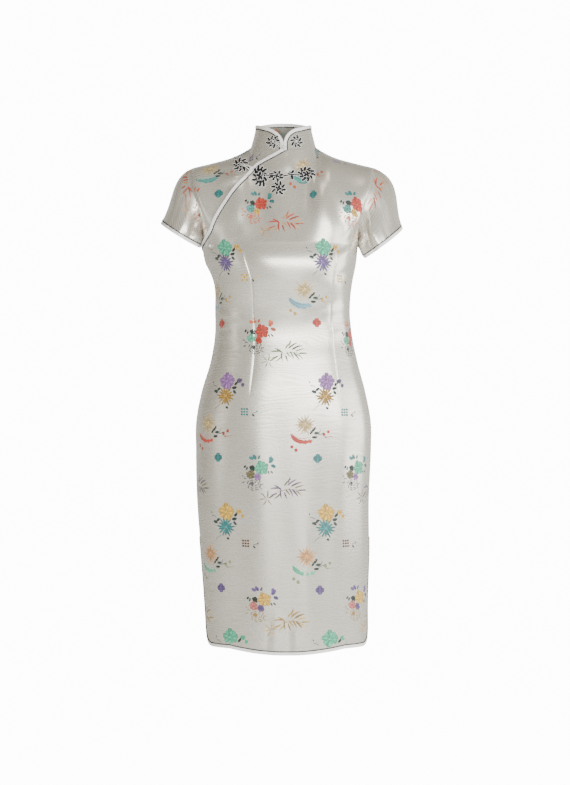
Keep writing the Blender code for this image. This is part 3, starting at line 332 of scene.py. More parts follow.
def satin_material():
    """White satin: its ground colour and a painted shade mixed by the ripples and by broad patches, glossy along the
    ripples.
    """
    material, tree, shader = new_material(
        "satin_ground", 0.30, Specular_IOR_Level=1.0, Metallic=0.55, Sheen_Weight=0.10, Sheen_Roughness=0.4
    )
    group = add_group(tree, ripples, cloth_coordinates(tree))
    split = tree.nodes.new("ShaderNodeSeparateXYZ")
    tree.links.new(cloth_coordinates(tree), split.inputs[0])
    low = math_node(tree, "MULTIPLY", math_node(tree, "SUBTRACT", RIPPLE_TOP, split.outputs["Y"]), RIPPLE_FADE)
    low.node.use_clamp = True
    share = math_node(tree, "ADD", math_node(tree, "MULTIPLY", low, 1.0 - RIPPLE_LEAST), RIPPLE_LEAST)
    ripple = math_node(tree, "MULTIPLY", group.outputs["Ripple"], share)
    amount = math_node(tree, "MULTIPLY", ripple, 0.75)
    # painted shade: the colour darkens towards the shade colour along the ripples, less towards the top, and in broad
    # patches below
    fine = mix_node(tree, amount, SATIN_LIGHT, SATIN_PAINTED_SHADE)
    broad = math_node(tree, "MULTIPLY", group.outputs["Patch"], 0.35)
    tree.links.new(mix_node(tree, broad, fine, SATIN_PAINTED_SHADE), shader.inputs["Base Color"])
    rough = math_node(tree, "ADD", math_node(tree, "MULTIPLY", ripple, 0.16), 0.27)
    tree.links.new(rough, shader.inputs["Roughness"])
    height = math_node(tree, "MULTIPLY", group.outputs["Height"], share)
    tree.links.new(bump_node(tree, height, 0.15, 0.0004), shader.inputs["Normal"])
    return material


def reverse_material():
    """The wrong side: dull grey-beige crossed by dark and coloured floats of the brocade wefts."""
    material, tree, shader = new_material("satin_reverse", 0.7, Sheen_Weight=0.15)
    vector = cloth_coordinates(tree)
    floats = texture_node(tree, "ShaderNodeTexNoise", vector, (1.0, 2.6, 1.0), Scale=34.0, Detail=4.0)
    hue = texture_node(tree, "ShaderNodeTexNoise", vector, (1.0, 1.0, 1.0), Scale=21.0, Detail=1.0)
    ramp = tree.nodes.new("ShaderNodeValToRGB")
    colours = [(0.36, (0.30, 0.27, 0.21)), (0.47, (0.34, 0.12, 0.06)), (0.53, (0.10, 0.22, 0.18)), (0.64, (0.30, 0.29, 0.25))]
    ramp.color_ramp.elements[0].position = colours[0][0]
    ramp.color_ramp.elements[1].position = colours[-1][0]
    ramp.color_ramp.elements[0].color = (*colours[0][1], 1.0)
    ramp.color_ramp.elements[1].color = (*colours[-1][1], 1.0)
    for place, colour in colours[1:-1]:
        ramp.color_ramp.elements.new(place).color = (*colour, 1.0)
    tree.links.new(hue, ramp.inputs["Fac"])
    sharp = math_node(tree, "MULTIPLY", math_node(tree, "SUBTRACT", floats, 0.50), 9.0)
    sharp.node.use_clamp = True
    ground = mix_node(tree, math_node(tree, "MULTIPLY", floats, 0.6), REVERSE_LIGHT, REVERSE_DARK)
    tree.links.new(mix_node(tree, sharp, ground, ramp.outputs["Color"]), shader.inputs["Base Color"])
    tree.links.new(bump_node(tree, floats, 0.3, 0.0005), shader.inputs["Normal"])
    return material


satin = satin_material()
reverse = reverse_material()

# Creases of the worn cloth: soft ridges and troughs, each a bell across a line between two points
# seen from the front, as they fall at the shoulder, bust, waist and skirt.
FRONT_FOLDS = np.array(
    [
        (0.022, -0.055, 0.032, -0.130, 0.014, 0.0020),
        (0.040, -0.050, 0.052, -0.150, 0.013, -0.0014),
        (0.002, 0.000, 0.004, -0.030, 0.008, 0.0014),
        (-0.125, -0.046, -0.092, -0.042, 0.008, 0.0018),
        (-0.125, -0.030, -0.085, -0.027, 0.007, -0.0012),
        (0.150, -0.150, 0.105, -0.200, 0.010, 0.0018),
        (-0.130, -0.325, -0.085, -0.345, 0.009, 0.0014),
        (-0.128, -0.350, -0.080, -0.362, 0.009, 0.0012),
        (0.125, -0.330, 0.085, -0.350, 0.009, 0.0012),
        (0.036, -0.700, 0.042, -0.930, 0.020, 0.0024),
        (-0.016, -0.880, -0.020, -0.950, 0.010, 0.0016),
        (0.006, -0.890, 0.008, -0.952, 0.009, -0.0016),
        (-0.095, -0.640, -0.085, -0.900, 0.022, -0.0020),
        (-0.018, -0.060, -0.030, -0.110, 0.009, 0.0009),
        (0.008, -0.012, 0.014, -0.034, 0.005, 0.0010),
        (0.016, -0.010, 0.024, -0.030, 0.005, -0.0008),
        (-0.140, -0.333, -0.100, -0.338, 0.0035, -0.0008),
        (-0.138, -0.342, -0.104, -0.350, 0.0035, 0.0008),
        (-0.137, -0.362, -0.100, -0.366, 0.0040, -0.0006),
        (0.132, -0.318, 0.104, -0.326, 0.0040, 0.0008),
        (0.130, -0.344, 0.100, -0.347, 0.0040, -0.0006),
        (-0.060, -0.300, 0.040, -0.308, 0.010, 0.0007),
        (-0.030, -0.905, -0.034, -0.950, 0.006, -0.0009),
        (0.020, -0.915, 0.022, -0.950, 0.006, 0.0010),
        (0.110, -0.560, 0.100, -0.840, 0.022, 0.0016),
        (-0.140, -0.225, -0.105, -0.262, 0.009, 0.0013),
        (-0.050, -0.560, -0.044, -0.930, 0.024, 0.0022),
        (0.076, -0.520, 0.070, -0.900, 0.020, -0.0018),
        (-0.012, -0.480, -0.006, -0.760, 0.022, -0.0016),
        (-0.122, -0.055, -0.070, -0.036, 0.006, 0.0022),
        (-0.118, -0.068, -0.080, -0.052, 0.005, -0.0014),
        (0.052, -0.040, 0.092, -0.160, 0.012, 0.0020),
        (0.075, -0.050, 0.122, -0.150, 0.011, -0.0016),
        (0.146, -0.105, 0.112, -0.165, 0.007, 0.0022),
        (0.138, -0.210, 0.100, -0.236, 0.007, -0.0014),
        (-0.135, -0.300, -0.075, -0.318, 0.007, 0.0014),
        (0.128, -0.286, 0.070, -0.306, 0.008, 0.0014),
    ],
    dtype=[("x0", float), ("z0", float), ("x1", float), ("z1", float), ("width", float), ("height", float)],
)
BACK_FOLDS = np.array(
    [
        (-0.100, -0.285, 0.090, -0.292, 0.012, 0.0022),
        (-0.090, -0.322, 0.100, -0.315, 0.012, 0.0018),
        (-0.110, -0.120, -0.060, -0.170, 0.014, 0.0018),
        (0.112, -0.118, 0.064, -0.172, 0.014, 0.0018),
        (-0.055, -0.640, -0.060, -0.920, 0.020, 0.0024),
        (0.052, -0.650, 0.050, -0.930, 0.022, -0.0022),
        (0.110, -0.600, 0.105, -0.880, 0.020, 0.0018),
        (-0.080, -0.303, 0.020, -0.309, 0.006, -0.0010),
        (0.010, -0.340, 0.095, -0.334, 0.007, 0.0009),
        (-0.120, -0.268, -0.060, -0.276, 0.007, 0.0009),
        (0.060, -0.268, 0.118, -0.262, 0.007, -0.0009),
        (-0.030, -0.050, -0.022, -0.130, 0.014, 0.0012),
        (0.030, -0.055, 0.020, -0.140, 0.014, 0.0012),
        (0.000, -0.880, 0.004, -0.950, 0.009, 0.0012),
    ],
    dtype=FRONT_FOLDS.dtype,
)


def fold_offset(points, folds):
    """Height of soft folds at points, each a bell across a straight line that fades at its ends."""
    offset = np.zeros(points.shape[:-1])
    for fold in folds:
        start = np.array([fold["x0"], fold["z0"]])
        line = np.array([fold["x1"], fold["z1"]]) - start
        length = np.linalg.norm(line)
        line = line / length
        away = points[..., [0, 2]] - start
        along = away @ line
        sideways = away[..., 0] * line[1] - away[..., 1] * line[0]
        fade = ease(0.5 + along / (0.6 * length)) * ease(0.5 + (length - along) / (0.6 * length))
        offset += fold["height"] * np.exp(-((sideways / fold["width"]) ** 2)) * fade
    return offset


def quiet_sides(across):
    """Fades folds out towards the side and armhole seams."""
    return ease((1.0 - np.abs(across)) / 0.12)


# Cut edges: the hem dips at the middle and rounds up at two slits, which open at the side lines.
# Along every bound edge the cloth stops short by the width of its piping and binding.
PIPING_RADIUS = 0.0009
PIPING_GAP = -0.0002
PIPING_SINK = -0.0003
BINDING_WIDTH = 0.0056
CAD_GAP = 0.0003
BINDING_START = 2 * CAD_GAP + 2 * PIPING_RADIUS
EDGE_WIDTH = BINDING_START + BINDING_WIDTH
HEM_CENTRE = -0.9565
HEM_RISE = 0.010
HEM_RISE_AT = 0.12
SLIT_TOP = -0.735
SLIT_NOTCH = 0.002
CORNER_RADIUS = 0.026
CORNER_ROWS = 22
SLIT_EDGE = np.array(
    [
        (-0.960, 0.015, 0.006),
        (-0.914, 0.013, 0.006),
        (-0.868, 0.009, 0.005),
        (-0.800, 0.007, 0.004),
        (-0.735, SEAM_HALF, SEAM_HALF),
        (-0.700, SEAM_HALF, SEAM_HALF),
    ],
    dtype=[("height", float), ("front", float), ("back", float)],
)


def side_across(level, face):
    """Across value of the cloth edge at the side, set in where the slit has its trim."""
    height = ARMPIT + np.minimum(level, 0.0)
    name = "front" if face < 0 else "back"
    depth = follow(RINGS, "height", name, height)
    finished = follow(SLIT_EDGE, "height", name, height)
    distance = np.where(height < SLIT_TOP - SLIT_NOTCH, finished + EDGE_WIDTH, 0.0)
    return 1.0 - np.arcsin((distance / depth) ** (1.0 / SECTION_ROUNDNESS)) * 2 / math.pi


def panel_levels(columns, levels, face):
    """Level of each grid point: flat rows, and below them rows that bend over the rounded hem corners."""
    base = HEM_CENTRE + EDGE_WIDTH - ARMPIT
    section_depth = RINGS["front" if face < 0 else "back"][0]
    from_edge = (1.0 - np.abs(columns)) * section_depth * math.pi / 2
    corner = CORNER_RADIUS - np.sqrt(CORNER_RADIUS**2 - np.clip(CORNER_RADIUS - from_edge, 0, None) ** 2)
    x_here = np.sin(columns * math.pi / 2) * RINGS["half_width"][0]
    bottom = base + HEM_RISE * np.minimum((x_here / HEM_RISE_AT) ** 2, 1.0) + corner
    share = np.arange(CORNER_ROWS)[:, None] / CORNER_ROWS
    bent = bottom * (1 - share) + levels[0] * share
    return np.concatenate([bent, np.tile(levels[:, None], (1, len(columns)))])


LOWER_LEVELS = np.concatenate(
    [
        np.linspace(-0.695, -0.568, 32),
        np.linspace(-0.565, -0.022, 138),
        np.linspace(-0.0205, -0.0015, 13),
    ]
)
UPPER_LEVELS = np.concatenate([np.linspace(0.0, 0.30, 22), np.linspace(0.30, 1.0, 40)[1:]])
LEVELS = np.concatenate([LOWER_LEVELS, UPPER_LEVELS])


def even_columns(count, extra=()):
    """Across values spaced evenly along the cloth of a mid section, with some given ones put in."""
    fine = np.linspace(-1, 1, 4001)
    points = body(fine, np.full(len(fine), -0.35), -1)
    along = np.concatenate([[0.0], np.cumsum(np.linalg.norm(np.diff(points, axis=0), axis=1))])
    spaced = np.interp(np.linspace(0, along[-1], count), along, fine)
    spaced[0], spaced[-1] = -1.0, 1.0
    clear = np.array([value for value in spaced if not extra or np.min(np.abs(np.array(extra) - value)) > 0.006])
    return np.sort(np.concatenate([clear, extra]))


MEASURE_LEVELS = np.concatenate([np.linspace(-0.80, -0.002, 240), np.linspace(0.0, 1.0, 80)])
MEASURE_ACROSS = np.linspace(-1, 1, 161)


def cloth_measures(face):
    """Lengths along the cloth, across from the centre line and up from the underarm, on an even grid."""
    points = body(MEASURE_ACROSS, MEASURE_LEVELS[:, None], face)
    over = np.linalg.norm(np.diff(points, axis=1), axis=2)
    wide = np.concatenate([np.zeros((len(points), 1)), np.cumsum(over, axis=1)], axis=1)
    wide -= wide[:, [len(MEASURE_ACROSS) // 2]]
    up = np.linalg.norm(np.diff(points, axis=0), axis=2)
    high = np.concatenate([np.zeros((1, len(MEASURE_ACROSS))), np.cumsum(up, axis=0)])
    underarm = int(np.argmax(MEASURE_LEVELS >= 0.0))
    return wide, high - high[underarm] + ARMPIT


def sample(grid, row, column):
    """Values of a grid at fractional places, blended from its four neighbours."""
    rows, columns = grid.shape[:2]
    low = np.clip(np.floor(row).astype(int), 0, rows - 2)
    left = np.clip(np.floor(column).astype(int), 0, columns - 2)
    up, over = row - low, column - left
    if grid.ndim == 3:
        up, over = up[..., None], over[..., None]
    near = grid[low, left] * (1 - over) + grid[low, left + 1] * over
    far = grid[low + 1, left] * (1 - over) + grid[low + 1, left + 1] * over
    return near * (1 - up) + far * up


MEASURES = {face: cloth_measures(face) for face in (-1, 1)}


def measure_cloth(across, level, face):
    """Cloth coordinates of grid points: metres from the centre line and height along the cloth."""
    row = np.interp(level, MEASURE_LEVELS, np.arange(len(MEASURE_LEVELS)))
    column = (across + 1) / 2 * (len(MEASURE_ACROSS) - 1)
    wide, high = MEASURES[face]
    return sample(wide, row, column), sample(high, row, column)


# Cloth pieces: each is a thin sheet, satin outside and its reverse inside, closed round its edge.
CLOTH = 0.0007


def fill_mesh(name, points, faces, smooth=True):
    """A mesh from whole arrays of points and of faces with three or four corners."""
    mesh = bpy.data.meshes.new(name)
    sizes = np.array([len(face) for face in faces]) if isinstance(faces, list) else np.full(len(faces), faces.shape[1])
    loops = np.concatenate(faces) if isinstance(faces, list) else faces.reshape(-1)
    mesh.vertices.add(len(points))
    mesh.vertices.foreach_set("co", np.ascontiguousarray(points, dtype=np.float32).reshape(-1))
    mesh.loops.add(len(loops))
    mesh.loops.foreach_set("vertex_index", loops.astype(np.int32))
    mesh.polygons.add(len(sizes))
    starts = np.concatenate([[0], np.cumsum(sizes)[:-1]]).astype(np.int32)
    mesh.polygons.foreach_set("loop_start", starts)
    mesh.update(calc_edges=True)
    mesh.validate()
    if smooth:
        mesh.shade_smooth()
    return mesh


def grid_faces(rows, columns, closed=False):
    """Corner numbers of the quads of a grid of points, wrapped round when closed."""
    index = np.arange(rows * columns).reshape(rows, columns)
    if closed:
        index = np.concatenate([index, index[:, :1]], axis=1)
    return np.stack([index[:-1, :-1], index[:-1, 1:], index[1:, 1:], index[1:, :-1]], axis=-1).reshape(-1, 4)


def rim_loops(rows, columns, closed):
    """Corner numbers round each free edge of a grid."""
    index = np.arange(rows * columns).reshape(rows, columns)
    if closed:
        return [np.append(index[0], index[0, 0]), np.append(index[-1], index[-1, 0])[::-1]]
    ring = [index[0], index[1:, -1], index[-1, -2::-1], index[-2:0:-1, 0], index[0, :1]]
    return [np.concatenate(ring)]


def add_piece(name, mesh, materials):
    """Puts a finished mesh in the scene as a piece that rides on the dress's one body."""
    for material in materials:
        mesh.materials.append(material)
    piece = bpy.data.objects.new(name, mesh)
    bpy.context.scene.collection.objects.link(piece)
    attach(piece, "root")
    return piece


def sew_cloth(name, panel, replaced):
    """A sheet of cloth between the panel's outer points and the same points set in by its thickness."""
    outer = panel["points"]
    rows, columns = outer.shape[:2]
    count = rows * columns
    closed = panel["closed"]
    faces = grid_faces(rows, columns, closed)
    middle = faces[len(faces) // 2]
    flat = outer.reshape(-1, 3)
    turn = np.cross(flat[middle[1]] - flat[middle[0]], flat[middle[2]] - flat[middle[0]])
    if np.dot(turn, panel["normals"].reshape(-1, 3)[middle[0]]) < 0:
        faces = faces[:, ::-1]
        flipped = True
    else:
        flipped = False
    rims = []
    for ring in rim_loops(rows, columns, closed):
        quads = np.stack([ring[1:], ring[:-1], ring[:-1] + count, ring[1:] + count], axis=1)
        rims.append(quads[:, ::-1] if flipped else quads)
    inner = outer + panel["inwards"] * CLOTH
    points = np.concatenate([flat, inner.reshape(-1, 3)])
    every = np.concatenate([faces, faces[:, ::-1] + count] + rims)
    mesh = fill_mesh(name, points, every)
    mesh.polygons.foreach_set(
        "material_index",
        np.concatenate([np.zeros(len(faces)), np.ones(len(faces)), np.zeros(sum(map(len, rims)))]).astype(np.int32),
    )
    coordinates = np.stack([panel["wide"].reshape(-1), panel["high"].reshape(-1)], axis=1)
    coordinates = np.concatenate([coordinates, coordinates])
    corners = np.zeros(len(mesh.loops), dtype=np.int32)
    mesh.loops.foreach_get("vertex_index", corners)
    layer = mesh.uv_layers.new(name="cloth")
    layer.data.foreach_set("uv", coordinates[corners].astype(np.float32).reshape(-1))
    mesh.set_sharp_from_angle(angle=math.radians(55))
    piece = add_piece(name, mesh, [satin, reverse])
    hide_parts(replaced)
    panel["piece"] = piece
    steps = [np.linalg.norm(np.diff(outer, axis=axis), axis=2) for axis in (0, 1)]
    around = steps[1].sum(axis=1) + (np.linalg.norm(outer[:, 0] - outer[:, -1], axis=1) if closed else 0.0)
    panel["area"] = float(area_of(flat, faces))
    panel["flat"] = (float(around.max()), float(steps[0].sum(axis=0).max()))
    return piece


def area_of(points, quads):
    """Area of quads, half the length of the cross product of their diagonals, summed."""
    first = points[quads[:, 2]] - points[quads[:, 0]]
    second = points[quads[:, 3]] - points[quads[:, 1]]
    return np.linalg.norm(np.cross(first, second), axis=1).sum() / 2


# Main front: one piece from the left side seam to the curved lapping edge, shaped by two long
# fisheye darts and lying over the breast piece under the right shoulder.
OVERLAP_EDGE = np.array(
    [
        (-0.1790, -1.000),
        (-0.1700, -0.830),
        (-0.1568, -0.715),
        (-0.1294, -0.600),
        (-0.0941, -0.445),
        (-0.0588, -0.305),
        (-0.0353, -0.215),
        (-0.0196, -0.165),
        (-0.0039, -0.060),
        (0.0100, 0.025),
    ],
    dtype=[("height", float), ("across", float)],
)
DARTS = np.array(
    [
        (-0.470, -0.255, 0.455),
        (-0.390, -0.265, 0.475),
        (-0.300, -0.276, 0.500),
        (-0.240, -0.295, 0.505),
        (-0.180, -0.320, 0.505),
    ],
    dtype=[("height", float), ("right", float), ("left", float)],
)
DART_RIGHT = -0.276
DART_LEFT = 0.500
DART_SOFT = (0.0005, 0.0050)
DART_SHARP = (0.0013, 0.0010)
ARC_OF_ACROSS = 0.21
NECK_COLUMN = -0.4663
OVERLAP_START = -0.009
LAP_RAISE = 0.0025
LAP_TILT = 0.13
LAP_FLAT = 0.020
LAP_RAMP = 0.030
DART_STEPS = np.array([-0.018, -0.0095, -0.0050, -0.0022, 0.0022, 0.0050, 0.0095, 0.018])


def overlap_across(level):
    """Across value of the lapping edge at each level, found by its height along the edge table."""
    level = np.atleast_1d(np.asarray(level, dtype=float))
    guess = np.interp(level, [OVERLAP_START, 1.0], [-1.0, OVERLAP_EDGE["across"][-1]])
    for _ in range(60):
        height = body(guess, level, -1)[..., 2]
        guess = guess + 0.5 * (follow(OVERLAP_EDGE, "height", "across", height) - guess)
    return guess


def to_neckline(low, share, known, wanted, level):
    """Moves the columns of a row, as the row rises, to places even in width with one on each neck corner."""
    widths = np.sin(np.array(wanted, dtype=float) * math.pi / 2)
    high = np.arcsin(np.clip(np.interp(share, known, widths), -1, 1)) * 2 / math.pi
    return low + (high - low) * float(ease((level - 0.2) / 0.8))


def dart_groove(points, across):
    """Depth of the two long darts: a wide soft trough with the sharp line of the seam in it."""
    height = points[..., 2]
    fade = ease((height + 0.470) / 0.06) * ease((-0.175 - height) / 0.05)
    groove = np.zeros(points.shape[:-1])
    for side in ("right", "left"):
        away = (across - follow(DARTS, "height", side, height)) * ARC_OF_ACROSS
        for depth, width in (DART_SOFT, DART_SHARP):
            groove += depth * np.exp(-((away / width) ** 2)) * fade
    return groove


def distance_to_line(points, line):
    """Distance of each point from a line of straight pieces."""
    start = line[:-1]
    piece = line[1:] - start
    length = np.maximum(np.linalg.norm(piece, axis=1), 1e-9)
    nearest = np.full(points.shape[:-1], np.inf)
    for index in range(len(start)):
        away = points - start[index]
        share = np.clip(away @ piece[index] / length[index] ** 2, 0.0, 1.0)
        nearest = np.minimum(nearest, np.linalg.norm(away - share[..., None] * piece[index], axis=-1))
    return nearest


def front_panel():
    """Points of the main front: rows by level, columns from the right side or the lapping edge to the left side."""
    close = tuple(np.concatenate([[NECK_COLUMN, DART_RIGHT, DART_LEFT], DART_RIGHT + DART_STEPS, DART_LEFT + DART_STEPS]))
    columns = even_columns(122, close)
    levels = panel_levels(columns, LEVELS, -1)
    across = np.zeros_like(levels)
    first = int(np.argmax(levels[:, 0] >= OVERLAP_START))
    for row, level in enumerate(levels):
        if row < first:
            height = ARMPIT + level[0]
            weight = float(ease((height + 0.62) / 0.12))
            right = DART_RIGHT + (float(follow(DARTS, "height", "right", height)) - DART_RIGHT) * weight
            left = DART_LEFT + (float(follow(DARTS, "height", "left", height)) - DART_LEFT) * weight
            placed = np.interp(columns, [-1, DART_RIGHT, DART_LEFT, 1], [-1, right, left, 1])
            across[row] = placed * side_across(level, -1)
        else:
            left = float(overlap_across(level[0])[0])
            share = (columns + 1) / 2
            kept = (NECK_COLUMN + 1) / 2
            low = left + (1 - left) * share
            across[row] = to_neckline(low, share, [0, kept, 1], [left, NECK_ACROSS, 1], level[0])
    smooth = body(across, levels, -1)
    normals = grid_normals(smooth)
    normals = normals * np.sign(-normals[..., 1:2].mean())
    edge = smooth[first:, 0]
    near = distance_to_line(smooth, edge)
    lap = LAP_RAISE * ease(1.0 - (near - LAP_FLAT) / LAP_RAMP) * ease((levels + 0.062) / 0.030)
    shift = (fold_offset(smooth, FRONT_FOLDS) - dart_groove(smooth, across)) * quiet_sides(across) + lap
    points = smooth + normals * shift[..., None]
    inwards = -normals.copy()
    inwards[:first, 0, 1] = 0.0
    inwards[:, -1, 1] = 0.0
    inwards[-1, np.abs(across[-1]) >= NECK_ACROSS - 1e-6, 1] = 0.0
    wide, high = measure_cloth(across, levels, -1)
    return {
        "points": points, "normals": normals, "inwards": unit(inwards), "closed": False, "across": across,
        "levels": levels, "wide": wide, "high": high, "lap_row": first,
    }


front = front_panel()
sew_cloth("main_front", front, "front_main")

# Breast piece: the small right front that carries the right shoulder and armhole and runs on
# under the lapping edge.
UNDERLAP_REACH = 0.036
UNDERLAP_COLUMNS = 61
UNDERLAP_BELOW = np.linspace(-0.022, -0.0015, 12)


def underlap_panel():
    """Points of the breast piece, from the right side line to a line past the lapping edge."""
    levels = np.concatenate([UNDERLAP_BELOW, UPPER_LEVELS])
    start = len(UNDERLAP_BELOW)
    right = overlap_across(np.maximum(levels, 0.0)) + UNDERLAP_REACH
    right[:start] = right[start] + levels[:start] * 1.5
    share = np.linspace(0.0, 1.0, UNDERLAP_COLUMNS)
    across = np.zeros((len(levels), len(share)))
    for row, level in enumerate(levels):
        low = -1 + (right[row] + 1) * share
        across[row] = to_neckline(low, share, [0, 0.5, 1], [-1, -NECK_ACROSS, right[row]], level)
    smooth = body(across, levels[:, None], -1)
    normals = grid_normals(smooth)
    normals = normals * np.sign(-normals[..., 1:2].mean())
    points = smooth + normals * (fold_offset(smooth, FRONT_FOLDS) * quiet_sides(across))[..., None]
    inwards = -normals.copy()
    inwards[:, 0, 1] = 0.0
    inwards[-1, across[-1] <= -NECK_ACROSS + 1e-6, 1] = 0.0
    wide, high = measure_cloth(across, np.broadcast_to(levels[:, None], across.shape), -1)
    return {
        "points": points, "normals": normals, "inwards": unit(inwards), "closed": False, "across": across,
        "wide": wide, "high": high,
    }


underlap = underlap_panel()
sew_cloth("breast_piece", underlap, "front_underlap")

# Back: cut in one piece from hem to neckline, with no seam down the middle.
BACK_NECK_COLUMN = 0.529375


def back_panel():
    """Points of the back: rows by level, columns from side to side, even in width at the shoulder."""
    columns = even_columns(112, (-BACK_NECK_COLUMN, 0.0, BACK_NECK_COLUMN))
    levels = panel_levels(columns, LEVELS[::1], 1)
    across = np.zeros_like(levels)
    known = [-1, -BACK_NECK_COLUMN, BACK_NECK_COLUMN, 1]
    for row, level in enumerate(levels):
        low = columns * side_across(level, 1)
        across[row] = to_neckline(low, columns, known, [-1, -NECK_ACROSS, NECK_ACROSS, 1], level[0])
    smooth = body(across, levels, 1)
    normals = grid_normals(smooth)
    normals = normals * np.sign(normals[..., 1:2].mean())
    points = smooth + normals * (fold_offset(smooth, BACK_FOLDS) * quiet_sides(across))[..., None]
    inwards = -normals.copy()
    inwards[:, [0, -1], 1] = 0.0
    inwards[-1, np.abs(across[-1]) >= NECK_ACROSS - 1e-6, 1] = 0.0
    wide, high = measure_cloth(across, levels, 1)
    return {
        "points": points, "normals": normals, "inwards": unit(inwards), "closed": False, "across": across,
        "levels": levels, "wide": wide, "high": high,
    }


back = back_panel()
sew_cloth("back_panel", back, "back")

# Sleeves: short set-in sleeves, each one piece with a seam at the underarm, eased into the armhole
# and falling in soft folds to a bound hem.
SLEEVES = {
    "right": {"side": -1.0, "outer": (-0.2440, -0.1240), "inner": (-0.1660, -0.1720), "fullness": 0.06},
    "left": {"side": 1.0, "outer": (0.2330, -0.1330), "inner": (0.1560, -0.1920), "fullness": 0.36},
}
SLEEVE_HALF_DEPTH = 0.060
SLEEVE_FRONT_DROP = 0.007
SLEEVE_BACK_LIFT = 0.002
SLEEVE_ROWS = 44
ARMHOLE_GAP = 0.0002
SLEEVE_FOLDS = np.array(
    [
        (1.0, -1.0, 0.17, 0.050, 0.0072),
        (1.0, -1.0, 0.30, 0.045, -0.0065),
        (1.0, -1.0, 0.42, 0.050, 0.0051),
        (1.0, -1.0, 0.58, 0.030, -0.0014),
        (1.0, -1.0, 0.70, 0.040, 0.0017),
        (1.0, 1.0, 0.22, 0.060, 0.0058),
        (1.0, 1.0, 0.38, 0.060, -0.0051),
        (1.0, 1.0, 0.62, 0.050, 0.0017),
        (-1.0, -1.0, 0.20, 0.055, 0.0065),
        (-1.0, -1.0, 0.36, 0.060, -0.0051),
        (-1.0, -1.0, 0.52, 0.035, 0.0017),
        (-1.0, -1.0, 0.68, 0.040, -0.0014),
        (-1.0, 1.0, 0.24, 0.060, 0.0058),
        (-1.0, 1.0, 0.40, 0.060, -0.0043),
        (-1.0, 1.0, 0.64, 0.050, 0.0017),
    ],
    dtype=[("sleeve", float), ("face", float), ("around", float), ("width", float), ("height", float)],
)


def sleeve_panel(data):
    """Points of a sleeve: a bent tube, each line of it a cubic from the armhole to the hem's ellipse."""
    side = data["side"]
    front_edge = body(np.full(len(UPPER_LEVELS), side), UPPER_LEVELS, -1)
    back_edge = body(np.full(len(UPPER_LEVELS), side), UPPER_LEVELS[::-1], 1)
    front_edge[[0, -1], 1] = 0.0
    loop = np.concatenate([front_edge, back_edge[1:-1]])
    total = len(loop)
    top = len(front_edge) - 1
    steps = np.linalg.norm(np.roll(loop, -1, axis=0) - loop, axis=1)
    along = np.concatenate([[0.0], np.cumsum(steps)])
    around = np.zeros(total)
    around[: top + 1] = along[: top + 1] / along[top]
    around[top + 1 :] = (along[-1] - along[top + 1 : -1]) / (along[-1] - along[top])
    face = np.where(np.arange(total) <= top, -1.0, 1.0)
    outer = np.array([data["outer"][0], 0.0, data["outer"][1]])
    inner = np.array([data["inner"][0], 0.0, data["inner"][1]])
    half = (outer - inner) / 2
    arm = unit(np.array([half[2] * side, 0.0, -abs(half[0])]))
    angle = around * math.pi
    hem = (outer + inner) / 2 - half * np.cos(angle)[:, None]
    hem[:, 1] += face * SLEEVE_HALF_DEPTH * np.sin(angle)
    hem[:, 2] -= np.where(face < 0, SLEEVE_FRONT_DROP, -SLEEVE_BACK_LIFT) * np.sin(angle)
    hem = hem - arm * EDGE_WIDTH
    leave = unit(np.stack([np.full(total, side), np.zeros(total), -0.36 - 0.69 * (1 - around)], axis=1))
    reach = np.linalg.norm(hem - loop, axis=1)[:, None]
    full = data["fullness"] * ease((around - 0.4) / 0.6)[:, None]
    first = loop + leave * reach * (0.38 + 0.3 * full)
    second = hem - (arm - np.array([side * 0.9, 0.0, 0.0]) * full) * reach * 0.42
    share = np.linspace(0, 1, SLEEVE_ROWS + 1)[:, None, None]
    points = loop * (1 - share) ** 3 + 3 * first * share * (1 - share) ** 2
    points = points + 3 * second * share**2 * (1 - share) + hem * share**3
    normals = grid_normals(points, closed=True) * -side
    run = share[:, :, 0]
    grow = ease(run / 0.5) * (1 - 0.35 * ease((run - 0.7) / 0.3))
    for fold in SLEEVE_FOLDS[SLEEVE_FOLDS["sleeve"] == side]:
        near = np.exp(-(((around - fold["around"]) / fold["width"]) ** 2)) * (face == fold["face"])
        points = points + normals * (fold["height"] * near * grow)[..., None]
    points[0] = loop + leave * ARMHOLE_GAP
    down = np.linalg.norm(np.diff(points, axis=0), axis=2)
    high = -np.concatenate([np.zeros((1, total)), np.cumsum(down, axis=0)])
    middle = SLEEVE_ROWS // 2
    girth = np.concatenate([[0.0], np.cumsum(np.linalg.norm(np.diff(points[middle], axis=0), axis=1))])
    wide = np.broadcast_to((girth - girth[top]) * -side, high.shape)
    return {
        "points": points, "normals": normals, "inwards": -normals, "closed": True, "arm": arm,
        "wide": wide, "high": high, "top": top,
    }


sleeves = {}
for label, data in SLEEVES.items():
    sleeves[label] = sleeve_panel(data)
    sew_cloth("sleeve_cloth_" + label, sleeves[label], "sleeve_" + label)

# Stand collar: a stiffened band on the neckline, leaning in, with rounded front ends that meet
# below the throat.
COLLAR_HEIGHT = 0.043
COLLAR_FRONT_EDGE = 0.016
COLLAR_CORNER = 0.042
COLLAR_GAP = 0.0004
COLLAR_LEAN = 0.0105
COLLAR_LEAN_FRONT = 0.0060
COLLAR_ROWS = 15
COLLAR_SHORTEST = 0.001


def neck_part(panel, face, end, side):
    """Neckline points of one body piece for the collar, cut at its front end."""
    across = panel["across"][-1]
    across = across[np.abs(across) <= NECK_ACROSS + 1e-6]
    row = body(across, 1.0, face)
    if end is None:
        return row
    row = row[row[:, 0] * side > end * side + COLLAR_SHORTEST]
    first = math.asin((end - NECK_CENTRE) / SHOULDER_HALF) * 2 / math.pi
    cut = body(np.array([first]), 1.0, face)
    return np.concatenate([cut, row]) if side > 0 else np.concatenate([row, cut])


